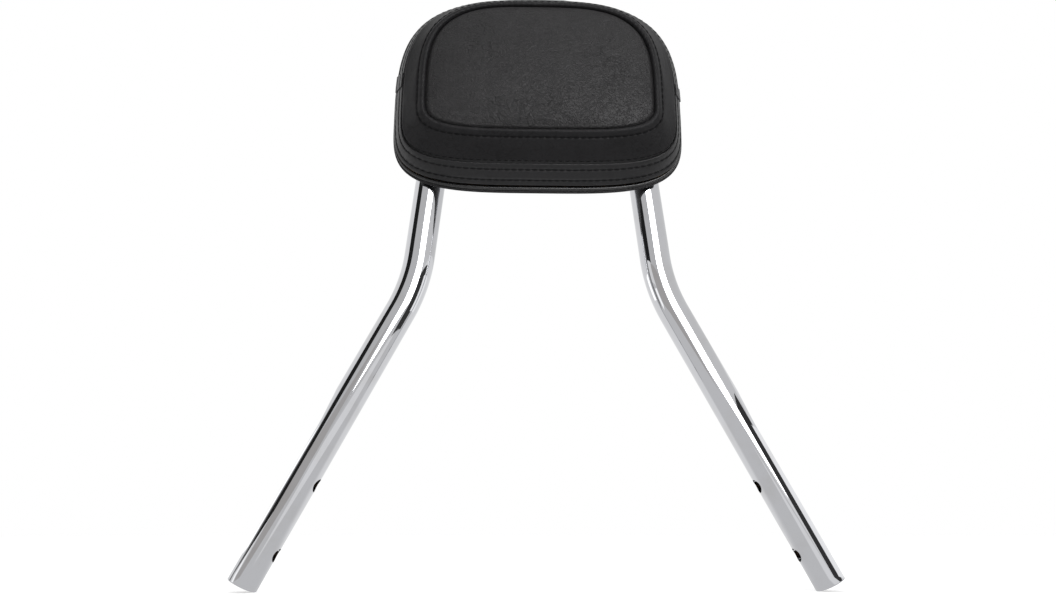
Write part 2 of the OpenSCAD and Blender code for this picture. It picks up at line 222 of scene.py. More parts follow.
class ShaderTree(NodeTree):
    """One material and the textures that feed it."""

    def __init__(self, name: str) -> None:
        """Make the material with a Principled shader and the object's coordinates.

        Args:
            name: The material's name.
        """
        self.material = bpy.data.materials.new(name)
        self.material.use_nodes = True
        super().__init__(self.material.node_tree)
        self.shader = self.node("ShaderNodeBsdfPrincipled")
        self.out = self.node("ShaderNodeOutputMaterial", None, {"Surface": self.shader.outputs[0]})
        self.place = self.node("ShaderNodeTexCoord").outputs["Object"]

    def noise(
        self, scale: float, detail: float = 3, rough: float = 0.5, bend: float = 0,
        place: Optional[bpy.types.NodeSocket] = None,
    ) -> Field:
        """Add noise.

        Args:
            scale: Lumps per metre.
            detail: Octaves.
            rough: Share of the fine octaves.
            bend: Distortion.
            place: Coordinates, or none for the object's own.

        Returns:
            The noise, 0 to 1.
        """
        values = {"Scale": scale, "Detail": detail, "Roughness": rough, "Distortion": bend}
        made = self.node("ShaderNodeTexNoise", None, {"Vector": place or self.place, **values})
        return Field(self, made.outputs["Fac"])

    def cells(self, scale: float, place: Optional[bpy.types.NodeSocket] = None) -> Field:
        """Add soft cells.

        Args:
            scale: Cells per metre.
            place: Coordinates, or none for the object's own.

        Returns:
            The distance from the cells' middles.
        """
        inputs = {"Vector": place or self.place, "Scale": scale}
        made = self.node("ShaderNodeTexVoronoi", {"feature": "SMOOTH_F1"}, inputs)
        return Field(self, made.outputs["Distance"])

    def stretched(self, scale: Sequence[float], turn: Sequence[float] = (0, 0, 0)) -> bpy.types.NodeSocket:
        """Give the object's coordinates turned and stretched."""
        inputs = {"Vector": self.place, "Rotation": tuple(turn), "Scale": tuple(scale)}
        return self.node("ShaderNodeMapping", None, inputs).outputs[0]

    def vectors(self, operation: str, *values: object, **named: object) -> bpy.types.NodeSocket:
        """Add a Vector Math node and give its output."""
        inputs = {**dict(enumerate(values)), **named}
        return self.node("ShaderNodeVectorMath", {"operation": operation}, inputs).outputs[0]

    def bent(
        self, amount: float, scale: float, place: Optional[bpy.types.NodeSocket] = None
    ) -> bpy.types.NodeSocket:
        """Push coordinates about by coloured noise.

        Args:
            amount: Distance in metres between the farthest pushes.
            scale: Lumps of the noise per metre.
            place: Coordinates, or none for the object's own.

        Returns:
            The coordinates.
        """
        place = place or self.place
        push = self.node("ShaderNodeTexNoise", None, {"Vector": place, "Scale": scale, "Detail": 2.0})
        level = self.vectors("SUBTRACT", push.outputs["Color"], (0.5, 0.5, 0.5))
        return self.vectors("ADD", place, self.vectors("SCALE", level, Scale=amount))

    def blend(self, share: Field, first: Colour, second: Colour) -> bpy.types.NodeSocket:
        """Mix two colours.

        Args:
            share: 0 for the first colour to 1 for the second.
            first: The first colour.
            second: The second colour.

        Returns:
            The mixed colour.
        """
        inputs = {"Factor_Float": share, "A_Color": first, "B_Color": second}
        made = self.node("ShaderNodeMix", {"data_type": "RGBA"}, inputs)
        return next(s for s in made.outputs if s.identifier == "Result_Color")

    def bump(self, height: Field, depth: float, strength: float = 1.0) -> None:
        """Give the shader a bump of a depth in metres."""
        inputs = {"Height": height, "Distance": depth, "Strength": strength}
        self.dress(Normal=self.node("ShaderNodeBump", None, inputs).outputs[0])

    def dress(self, **inputs: object) -> None:
        """Set or link inputs of the shader, with spaces written as underscores."""
        for key, value in inputs.items():
            self.wire(self.shader.inputs[key.replace("_", " ")], value)


# Finishes


@dataclass(frozen=True)
class Coat:
    """A finish that becomes a material of its name."""

    name: str

    def make(self) -> bpy.types.Material:
        """Write the material.

        Returns:
            The material.
        """
        tree = ShaderTree(self.name)
        self.paint(tree)
        return tree.material

    def paint(self, tree: ShaderTree) -> None:
        """Colour the shader, which each finish does in its own way."""
        raise NotImplementedError(self.name)


@dataclass(frozen=True)
class ChromePlate(Coat):
    """Bright chrome plate over a polished tube, with a faint draw and a little haze."""

    name: str = "bright_chrome"
    colour: Colour = (0.60, 0.605, 0.625)
    tint: Colour = (0.565, 0.565, 0.575)
    rough: float = 0.022

    def paint(self, tree: ShaderTree) -> None:
        """Colour the shader.

        Args:
            tree: The material's nodes.
        """
        haze = tree.noise(38, 4, 0.6).between(0.45, 0.75)
        wipe = tree.noise(900, 2, 0.5, 0.0, tree.stretched((1.0, 1.0, 0.06)))
        pits = tree.cells(420).between(0.0, 0.05)
        tree.dress(
            Metallic=1.0,
            Base_Color=tree.blend(haze, self.colour, self.tint),
            Roughness=haze * 0.02 + wipe * 0.012 + self.rough,
        )
        tree.bump(tree.noise(24, 2) + wipe * 0.004 + pits * 0.002, 0.00005, 0.25)


@dataclass(frozen=True)
class BoreScale(Coat):
    """Dull brown inside of the tube, where the plating doesn't reach."""

    name: str = "bore_scale"
    dark: Colour = (0.06, 0.035, 0.018)
    light: Colour = (0.20, 0.12, 0.06)

    def paint(self, tree: ShaderTree) -> None:
        """Colour the shader.

        Args:
            tree: The material's nodes.
        """
        spots = tree.noise(260, 6, 0.7)
        tree.dress(
            Metallic=spots * 0.5,
            Base_Color=tree.blend(spots.between(0.4, 0.7), self.dark, self.light),
            Roughness=0.75 - spots * 0.25,
        )
        tree.bump(spots, 0.0002, 0.6)


@dataclass(frozen=True)
class GrainedVinyl(Coat):
    """Black upholstery vinyl: a pebble grain, flowing creases darkened with painted shade and a soft sheen.
    """

    colour: Colour = (0.0070, 0.0068, 0.0074)
    lighter: Colour = (0.0185, 0.0180, 0.0192)
    rough: float = 0.47
    grain: float = 1.0
    creases: float = 1.0
    sheen: float = 0.008
    shine: float = 0.17

    def paint(self, tree: ShaderTree) -> None:
        """Colour the shader.

        Args:
            tree: The material's nodes.
        """
        flow = tree.bent(0.008, 24, tree.stretched((1.0, 1.0, 1.35), (0.0, 0.4, 0.0)))
        pebble = tree.cells(760, place=tree.bent(0.0012, 420, flow))
        fine = tree.noise(2400, 2, 0.6)
        folds = tree.noise(88, 2, 0.5, 0.0, flow) - 0.5
        web = folds.maths("ABSOLUTE", folds).between(0.0, 0.035)
        short = tree.noise(310, 2, 0.5, 0.0, flow) - 0.5
        web_fine = short.maths("ABSOLUTE", short).between(0.0, 0.05)
        where = tree.noise(19, 2, 0.5).between(0.42, 0.62)
        crease = 1 - (1 - web) * where
        worn = tree.noise(55, 5, 0.65)
        low = (1 - crease) * 0.6 + (1 - web_fine) * 0.4
        height = (
            pebble * (-1.0 * self.grain)
            + fine * (0.10 * self.grain)
            + crease * (0.8 * self.creases)
            + web_fine * (0.5 * self.creases)
        )
        # Painted shade: the base colour turns to the darker colour along the crease lines and keeps the
        # lighter colour outside them; worn patches are a little lighter too.
        lit_and_worn = (1 - low) * 0.7 + worn.between(0.35, 0.7) * 0.3
        tree.dress(
            Base_Color=tree.blend(lit_and_worn, self.colour, self.lighter),
            Roughness=low * (0.18 * self.creases) + worn * 0.08 + (self.rough - 0.06),
            Sheen_Weight=self.sheen,
            Sheen_Roughness=0.55,
            Specular_IOR_Level=self.shine,
        )
        tree.bump(height, 0.0006, 0.72)


@dataclass(frozen=True)
class Thread(Coat):
    """Black bonded thread with a twist."""

    name: str = "black_thread"
    colour: Colour = (0.006, 0.006, 0.006)
    light: Colour = (0.010, 0.010, 0.011)

    def paint(self, tree: ShaderTree) -> None:
        """Colour the shader.

        Args:
            tree: The material's nodes.
        """
        twist = tree.noise(3800, 2, 0.6)
        tree.dress(
            Base_Color=tree.blend(twist, self.colour, self.light),
            Roughness=twist * 0.15 + 0.75,
            Specular_IOR_Level=0.08,
        )
        tree.bump(twist, 0.0001, 0.5)


@dataclass(frozen=True)
class ZincSteel(Coat):
    """Bright zinc on the screws, washers and nuts."""

    name: str = "zinc_plating"
    dark: Colour = (0.50, 0.51, 0.53)
    light: Colour = (0.66, 0.67, 0.70)

    def paint(self, tree: ShaderTree) -> None:
        """Colour the shader.

        Args:
            tree: The material's nodes.
        """
        lighter = tree.noise(320, 5, 0.7)
        tree.dress(
            Metallic=1.0,
            Base_Color=tree.blend(lighter, self.dark, self.light),
            Roughness=lighter * 0.18 + 0.2,
        )
        tree.bump(tree.noise(1500, 3), 0.00006, 0.5)


@dataclass(frozen=True)
class Plywood(Coat):
    """Birch plywood: long grain on the faces and plies on the edge."""

    name: str = "birch_plywood"
    dark: Colour = (0.30, 0.17, 0.08)
    light: Colour = (0.58, 0.40, 0.23)

    def paint(self, tree: ShaderTree) -> None:
        """Colour the shader.

        Args:
            tree: The material's nodes.
        """
        grain = tree.noise(180, 6, 0.6, 0.6, tree.stretched((0.12, 1.0, 1.0)))
        plies = tree.noise(700, 0, 0.5, 0.0, tree.stretched((0.01, 1.0, 0.01)))
        share = grain * 0.6 + plies.between(0.42, 0.58) * 0.4
        tree.dress(Base_Color=tree.blend(share, self.dark, self.light), Roughness=0.85 - share * 0.2)
        tree.bump(grain, 0.0002, 0.4)


@dataclass(frozen=True)
class Foam(Coat):
    """Charcoal open-cell foam."""

    name: str = "open_foam"
    dark: Colour = (0.009, 0.009, 0.0095)
    light: Colour = (0.020, 0.020, 0.021)

    def paint(self, tree: ShaderTree) -> None:
        """Colour the shader.

        Args:
            tree: The material's nodes.
        """
        cells = tree.cells(1400)
        tree.dress(Base_Color=tree.blend(cells, self.dark, self.light), Roughness=0.95 - cells * 0.1)
        tree.bump(cells, 0.0005, 0.8)


class Finish(Enum):
    """The finishes of the pieces, each made once."""

    CHROME = ChromePlate()
    BORE = BoreScale()
    PANEL = GrainedVinyl("panel_vinyl", (0.0120, 0.0115, 0.0122), (0.0240, 0.0232, 0.0242), shine=0.2)
    BORDER = GrainedVinyl("border_vinyl", grain=0.16, creases=0.08, rough=0.52, shine=0.11)
    BOXING = GrainedVinyl("boxing_vinyl", grain=0.13, creases=0.05, rough=0.42, shine=0.26)
    EDGE = GrainedVinyl("trim_vinyl", grain=0.10, creases=0.04, rough=0.27, shine=0.5)
    BACK = GrainedVinyl("back_vinyl", grain=0.5, creases=0.15, rough=0.5)
    THREAD = Thread()
    ZINC = ZincSteel()
    PLYWOOD = Plywood()
    FOAM = Foam()

    def material(self) -> bpy.types.Material:
        """Give this finish's material."""
        return bpy.data.materials.get(self.value.name) or self.value.make()


# Hand tools


class Bench:
    """Hand tools on one piece at a time."""

    @staticmethod
    def hold(piece: bpy.types.Object) -> bpy.types.Object:
        """Select only this piece and make it active.

        Args:
            piece: The piece.

        Returns:
            The same piece.
        """
        bpy.ops.object.select_all(action="DESELECT")
        piece.select_set(True)
        bpy.context.view_layer.objects.active = piece
        return piece

    @staticmethod
    def start(add: Callable[..., object], name: str, **sizes: object) -> bpy.types.Object:
        """Add a primitive.

        Args:
            add: The operator that adds it.
            name: The new object's name.
            sizes: The operator's settings.

        Returns:
            The new object, alone selected and active.
        """
        bpy.ops.object.select_all(action="DESELECT")
        add(**sizes)
        piece = bpy.context.object
        piece.name = piece.data.name = name
        Bench.settle(piece)
        return piece

    @staticmethod
    def settle(piece: bpy.types.Object) -> None:
        """Put the piece's place, turn and scale into its mesh."""
        Bench.hold(piece)
        bpy.ops.object.transform_apply(location=True, rotation=True, scale=True)

    @staticmethod
    def modify(piece: bpy.types.Object, kind: str, **settings: object) -> None:
        """Add a modifier and apply it.

        Args:
            piece: The piece.
            kind: The modifier's type.
            settings: Attributes of the modifier.
        """
        Bench.hold(piece)
        made = piece.modifiers.new(kind.title(), kind)
        for key, value in settings.items():
            setattr(made, key, value)
        bpy.ops.object.modifier_apply(modifier=made.name)

    @staticmethod
    def cut(piece: bpy.types.Object, tool: bpy.types.Object) -> None:
        """Cut a tool's shape out of a piece and put the tool away."""
        Bench.modify(piece, "BOOLEAN", operation="DIFFERENCE", object=tool, solver="EXACT")
        Bench.drop(tool)

    @staticmethod
    def drill(
        piece: bpy.types.Object, radius: float, depth: float, place: Sequence[float],
        turn: Sequence[float] = ALONG_Y, sides: int = 48,
    ) -> None:
        """Cut a straight hole.

        Args:
            piece: The piece to cut.
            radius: The hole's radius.
            depth: The drill's length.
            place: The drill's middle.
            turn: The drill's turn from upright, along Y unless given.
            sides: Facets round.
        """
        tool = Bench.start(
            bpy.ops.mesh.primitive_cylinder_add, "drill", vertices=sides, radius=radius, depth=depth,
            location=place, rotation=turn,
        )
        Bench.cut(piece, tool)

    @staticmethod
    def drop(piece: bpy.types.Object) -> None:
        """Remove an object and its mesh.

        Args:
            piece: The object.
        """
        mesh = piece.data
        bpy.data.objects.remove(piece)
        bpy.data.meshes.remove(mesh)

    @staticmethod
    def pick(piece: bpy.types.Object, test: Callable[[Vector], bool]) -> None:
        """Open the piece for editing with a part of it selected.

        Args:
            piece: The piece.
            test: Tells from its place whether a vertex is selected.
        """
        Bench.hold(piece)
        mesh = piece.data
        chosen = [test(v.co) for v in mesh.vertices]
        mesh.vertices.foreach_set("select", chosen)
        mesh.edges.foreach_set("select", [all(chosen[i] for i in e.vertices) for e in mesh.edges])
        mesh.polygons.foreach_set("select", [all(chosen[i] for i in p.vertices) for p in mesh.polygons])
        bpy.ops.object.mode_set(mode="EDIT")

    @staticmethod
    def close() -> None:
        """Leave editing."""
        bpy.ops.object.mode_set(mode="OBJECT")

    @staticmethod
    def tidy(piece: bpy.types.Object, reach: float = 1e-6) -> None:
        """Merge doubles and turn the faces outwards.

        Args:
            piece: The piece.
            reach: Distance up to which vertices are merged.
        """
        Bench.pick(piece, lambda co: True)
        bpy.ops.mesh.remove_doubles(threshold=reach)
        bpy.ops.mesh.normals_make_consistent(inside=False)
        Bench.close()

    @staticmethod
    def smooth(piece: bpy.types.Object, degrees: float = 35) -> None:
        """Shade smooth up to an angle."""
        Bench.hold(piece)
        bpy.ops.object.shade_smooth_by_angle(angle=math.radians(degrees))

    @staticmethod
    def copy(piece: bpy.types.Object, name: str, move: Matrix) -> bpy.types.Object:
        """Copy a piece with its own mesh.

        Args:
            piece: The piece.
            name: The copy's name.
            move: Moves the copy's mesh; a mirrored one is turned outwards again.

        Returns:
            The copy.
        """
        made = piece.copy()
        made.data = piece.data.copy()
        made.name = made.data.name = name
        bpy.context.scene.collection.objects.link(made)
        made.data.transform(move)
        if move.determinant() < 0:
            made.data.flip_normals()
        return made

    @staticmethod
    def join(pieces: Sequence[bpy.types.Object], name: str) -> bpy.types.Object:
        """Join several objects into the first one.

        Args:
            pieces: The objects.
            name: The joined object's name.

        Returns:
            The joined object.
        """
        Bench.hold(pieces[0])
        for other in pieces[1:]:
            other.select_set(True)
        bpy.ops.object.join()
        pieces[0].name = pieces[0].data.name = name
        return pieces[0]

    @staticmethod
    def mesh(name: str, points: np.ndarray, faces: Iterable[Sequence[int]]) -> bpy.types.Object:
        """Make an object from points and faces.

        Args:
            name: The object's name.
            points: An array whose last axis is x, y, z.
            faces: Point numbers of each face.

        Returns:
            The object.
        """
        data = bpy.data.meshes.new(name)
        data.from_pydata(points.reshape(-1, 3).tolist(), [], [tuple(map(int, f)) for f in faces])
        data.validate()
        piece = bpy.data.objects.new(name, data)
        bpy.context.scene.collection.objects.link(piece)
        return piece


def finish_piece(
    piece: bpy.types.Object, finish: Finish, nodes: Sequence[str] = (), smooth: float = 35
) -> None:
    """Dress a piece and tie it to the frame.

    Args:
        piece: The finished mesh.
        finish: Its finish.
        nodes: The CAD nodes that it stands for.
        smooth: Angle up to which it is shaded smooth.
    """
    if not piece.data.materials:
        piece.data.materials.append(finish.material())
    else:
        piece.data.materials[0] = finish.material()
    Bench.smooth(piece, smooth)
    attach(piece, BODY)
    if nodes:
        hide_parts(*nodes)
    LOG.info("%s: %d faces", piece.name, len(piece.data.polygons))


# Frame of the sissy bar


@dataclass
class Hoop:
    """The bent chrome tube."""

    tube_r: float = 12.7 * MM
    wall: float = 2.5 * MM
    top_z: float = 503.3 * MM
    end_x: float = 223 * MM
    splay: float = math.radians(27.4)
    lean: float = math.radians(6)
    knee_z: float = 240 * MM
    knee_radius: float = 135 * MM
    chamfer: float = 0.8 * MM
    hole_r: float = 5.5 * MM
    holes: tuple[float, float] = (30 * MM, 88 * MM)
    flat_depth: float = 3 * MM
    flat_length: float = 128 * MM
    runout: float = 34 * MM
    sides: int = 128
    press_round: float = 0.9 * MM

    def __post_init__(self) -> None:
        """Work out where the straights and bends meet."""
        self.end_z = (self.tube_r - self.chamfer) * math.sin(self.splay)
        leg = (self.knee_z - self.end_z) / math.cos(self.splay)
        self.knee_x = self.end_x - leg * math.sin(self.splay)
        sine, cosine = math.sin(self.lean), math.cos(self.lean)
        self.arch_z = (self.top_z - self.knee_x * cosine - self.knee_z * sine) / (1 - sine)
        self.arch_r = self.top_z - self.arch_z
        setback = self.knee_radius * math.tan((self.splay - self.lean) / 2)
        self.lower = leg - setback
        end = Vector((self.arch_r * cosine, self.arch_z + self.arch_r * sine))
        knee = Vector((self.knee_x - setback * sine, self.knee_z + setback * cosine))
        self.upper = (end - knee).length
        x, z = knee.x + self.knee_radius * cosine, knee.y + self.knee_radius * sine
        self.knee_centre = Vector((x, BAR_Y, z))
        self.down_upper = Vector((sine, 0, -cosine))
        self.down = Vector((math.sin(self.splay), 0, -math.cos(self.splay)))
        self.out = Vector((math.cos(self.splay), 0, math.sin(self.splay)))
        self.end = Vector((self.end_x, BAR_Y, self.end_z))

    def side_x(self, z: float) -> float:
        """Distance from the middle to the tube's centre line on an upper leg."""
        return self.knee_x - (z - self.knee_z) * math.tan(self.lean)

    def stations(self) -> list[float]:
        """Space the rings down the lower leg, fine where the flat is pressed in.

        Returns:
            The lengths of the steps.
        """
        start, full = self.flat_length + self.runout, self.flat_length - 2 * MM
        marks = [self.lower, start + 4 * MM]
        marks += list(np.linspace(start, full, 30)) + list(np.linspace(full, 0, 22)[1:])
        return [a - b for a, b in zip(marks, marks[1:])]

    def press(self, tube: bpy.types.Object) -> None:
        """Press the outer side of the lower leg flat, with a rounded edge.

        Args:
            tube: The right-hand half of the hoop.
        """
        mesh = tube.data
        points = np.empty(len(mesh.vertices) * 3)
        mesh.vertices.foreach_get("co", points)
        points = points.reshape(-1, 3)
        away = points - np.array(self.end)
        along = away @ -np.array(self.down)
        out = away @ np.array(self.out)
        past = np.clip((along - self.flat_length) / self.runout, 0, 1)
        pressed = 0.5 + 0.5 * np.cos(np.pi * past)
        limit = self.tube_r - self.flat_depth * pressed
        soft = self.press_round
        pull = limit - soft * np.logaddexp(0, (limit - out) / soft)
        touched = (past < 1) & (points[:, 2] < self.knee_z) & (pressed > 0.0005)
        blend = np.clip(pressed / 0.12, 0, 1)
        wanted = np.where(touched, pull * blend + out * (1 - blend), out)
        points += np.outer(wanted - out, np.array(self.out))
        mesh.vertices.foreach_set("co", points.ravel())
        mesh.update()

    def build(self) -> None:
        """Bend the tube, press its flats and drill it."""
        tube = Bench.start(
            bpy.ops.mesh.primitive_circle_add, "chrome_hoop", vertices=self.sides, radius=self.tube_r,
            location=(0, BAR_Y, self.top_z), rotation=(0, math.pi / 2, 0),
        )
        Bench.pick(tube, lambda co: True)
        bpy.ops.mesh.spin(
            steps=56, angle=self.lean - math.pi / 2, center=(0, BAR_Y, self.arch_z), axis=(0, 1, 0)
        )
        bpy.ops.mesh.extrude_region_move(TRANSFORM_OT_translate={"value": self.down_upper * self.upper})
        bpy.ops.mesh.spin(
            steps=20, angle=self.splay - self.lean, center=self.knee_centre, axis=(0, 1, 0)
        )
        for step in self.stations():
            bpy.ops.mesh.extrude_region_move(TRANSFORM_OT_translate={"value": self.down * step})
        Bench.close()
        self.press(tube)
        Bench.modify(tube, "MIRROR", use_axis=(True, False, False), merge_threshold=1e-5)
        Bench.tidy(tube, 1e-5)
        tube.data.materials.append(Finish.CHROME.material())
        tube.data.materials.append(Finish.BORE.material())
        Bench.modify(
            tube, "SOLIDIFY", thickness=self.wall, offset=-1, use_even_offset=True, material_offset=1
        )
        Bench.modify(
            tube, "BEVEL", width=self.chamfer, segments=4, limit_method="ANGLE",
            angle_limit=math.radians(60), use_clamp_overlap=True,
        )
        for side, _ in SIDES:
            for hole in self.holes:
                middle = self.end - self.down * hole
                turn = (0, side * (math.pi / 2 - self.splay), 0)
                Bench.drill(tube, self.hole_r, 40 * MM, (side * middle.x, BAR_Y, middle.z), turn, 64)
        finish_piece(tube, Finish.CHROME, ["bar_tube"], 25)


@dataclass
class CrossStrap:
    """A flat strap welded to the front of the hoop, with a rippled bead at each end."""

    hoop: Hoop
    row: str
    z: float
    width: float = 25 * MM
    thick: float = 4 * MM
    back: float = 10.7 * MM
    hole_r: float = 3.3 * MM
    bead: float = 3.2 * MM
    scales: int = 13

    def bead_chain(self) -> bpy.types.Object:
        """Lay one weld bead as a chain of scales, at the right-hand end.

        Returns:
            The bead.
        """
        r = self.hoop.tube_r
        x = self.hoop.side_x(self.z) - math.sqrt(r * r - self.back ** 2) / math.cos(self.hoop.lean)
        chain, length = [], self.width - 4 * MM
        for i in range(self.scales):
            along = (i / (self.scales - 1) - 0.5) * length
            chain.append(Bench.start(
                bpy.ops.mesh.primitive_uv_sphere_add, "scale", segments=20, ring_count=12, radius=1,
                scale=(self.bead * 0.86, self.bead * 0.8, self.bead * 0.46),
                location=(x + along * math.tan(-self.hoop.lean), BAR_Y - self.back, self.z + along),
                rotation=(math.radians(24), -self.hoop.lean, math.radians(6 * (i % 3 - 1))),
            ))
        bead = Bench.join(chain, "bead")
        Bench.modify(bead, "REMESH", mode="VOXEL", voxel_size=0.45 * MM)
        Bench.modify(bead, "SMOOTH", factor=0.5, iterations=2)
        return bead

    def build(self) -> None:
        """Cut, seat, drill and weld the strap."""
        x, y = self.hoop.side_x(self.z), BAR_Y - self.back - self.thick / 2
        half, saddle_r = x + self.hoop.tube_r * 0.6, self.hoop.tube_r + 0.05 * MM
        strap = Bench.start(
            bpy.ops.mesh.primitive_cube_add, f"{self.row}_strap_plate", size=1,
            location=(0, y, self.z), scale=(2 * half, self.thick, self.width),
        )
        Bench.modify(strap, "BEVEL", width=0.9 * MM, segments=4, limit_method="ANGLE")
        for side, _ in SIDES:
            turn = (0, -side * self.hoop.lean, 0)
            Bench.drill(strap, saddle_r, 90 * MM, (side * x, BAR_Y, self.z), turn, 128)
            Bench.drill(strap, self.hole_r, 20 * MM, (side * SCREW_X, y, self.z))
        right = self.bead_chain()
        left = Bench.copy(right, "bead_left", Matrix.Diagonal((-1, 1, 1, 1)))
        Bench.join([strap, right, left], strap.name)
        finish_piece(strap, Finish.CHROME, [f"{self.row}_strap"], 40)


# Fasteners of the pad


@dataclass
class PadScrew:
    """One button head screw with its split and flat washer, made once and copied to four places."""

    seat: float = 7.5 * MM
    shank_r: float = 2.95 * MM
    length: float = 16 * MM
    pitch: float = 1.0 * MM
    thread_depth: float = 0.45 * MM
    thread_turns: int = 13
    head_r: float = 5.25 * MM
    head_h: float = 3.3 * MM
    socket_r: float = 2.31 * MM
    washer_t: float = 1.6 * MM
    flat_r: float = 6.25 * MM
    spring_r: float = 5.55 * MM
    side_turn: float = math.radians(40)
    height_turn: float = math.radians(900)

    def turned(self, name: str, profile: Sequence[tuple[float, float]], steps: int = 64) -> bpy.types.Object:
        """Turn a profile of radius and depth round the screw's axis, at the middle of the frame.

        Args:
            name: The new object's name.
            profile: Pairs of radius and depth in front of the tube's plane.
            steps: Facets round.

        Returns:
            The turned piece with its axis along Y.
        """
        turn = Bench.start(bpy.ops.mesh.primitive_plane_add, name, size=1)
        mesh = turn.data
        mesh.clear_geometry()
        mesh.from_pydata([(r, -d, 0) for r, d in profile], [(i, i + 1) for i in range(len(profile) - 1)], [])
        Bench.pick(turn, lambda co: True)
        bpy.ops.mesh.spin(steps=steps, angle=2 * math.pi, center=(0, 0, 0), axis=(0, 1, 0))
        Bench.close()
        Bench.tidy(turn, 2e-6)
        return turn

    def screw(self) -> bpy.types.Object:
        """Turn the screw, its head domed, its thread cut and its socket sunk.

        Returns:
            The screw at the middle of the frame.
        """
        top, start, end = self.seat - self.head_h, self.seat + 1.5 * MM, self.seat + self.length
        profile = [(0.0, top)]
        for i in range(13):
            a = math.radians(90) * i / 12
            rise = self.head_h * 0.86 * (1 - math.cos(a))
            profile.append((self.head_r * (0.42 + 0.58 * math.sin(a)), top + rise))
        profile += [(self.head_r, self.seat - 0.15 * MM), (self.head_r - 0.15 * MM, self.seat)]
        profile += [(self.shank_r, self.seat), (self.shank_r, self.seat + 1.2 * MM)]
        for i in range(self.thread_turns):
            turn = start + i * self.pitch
            root_r = self.shank_r - self.thread_depth
            profile += [(root_r, turn + 0.35 * MM), (self.shank_r, turn + 0.8 * MM)]
        profile += [(self.shank_r - 0.8 * MM, end), (0.0, end)]
        piece = self.turned("screw", profile, 48)
        Bench.drill(piece, self.socket_r, 4 * MM, (0, -top, 0), sides=6)
        return piece

    def washer(self, name: str, start: float, outer: float, edge: float) -> bpy.types.Object:
        """Turn a washer with broken edges.

        Args:
            name: The new object's name.
            start: Depth of its rear face.
            outer: Outer radius.
            edge: Size of the broken edges.

        Returns:
            The washer at the middle of the frame.
        """
        hole, end = self.shank_r + 0.2 * MM, start + self.washer_t
        ring = [(hole, start + edge), (hole + edge, start), (outer - edge, start), (outer, start + edge),
                (outer, end - edge), (outer - edge, end), (hole + edge, end), (hole, end - edge)]
        return self.turned(name, ring + ring[:1])

    def spring_washer(self) -> bpy.types.Object:
        """Turn the spring washer and split it on a slant.

        Returns:
            The washer at the middle of the frame.
        """
        piece = self.washer("spring", self.seat, self.spring_r, 0.2 * MM)
        slot = Bench.start(
            bpy.ops.mesh.primitive_cube_add, "slot", size=1, scale=(0.8 * MM, 6 * MM, 8 * MM),
            location=(0, -self.seat - self.washer_t / 2, self.spring_r), rotation=(0, 0, math.radians(28)),
        )
        Bench.cut(piece, slot)
        return piece

    def build(self) -> None:
        """Make each kind once and set a copy at each of the four places."""
        kinds = (
            ("screw", self.screw()),
            ("spring_washer", self.spring_washer()),
            ("flat_washer", self.washer("flat", self.seat + self.washer_t, self.flat_r, 0.25 * MM)),
        )
        for kind, model in kinds:
            for row, z in STRAP_ROWS:
                for side, name in SIDES:
                    turn = 0.0 if kind == "spring_washer" else self.side_turn * side + self.height_turn * z
                    move = Matrix.Translation((side * SCREW_X, BAR_Y, z)) @ Matrix.Rotation(turn, 4, "Y")
                    node = f"{kind}_{row}_{name}"
                    piece = Bench.copy(model, f"{node}_turned", move)
                    finish_piece(piece, Finish.ZINC, [node], 30)
            Bench.drop(model)


# Pad


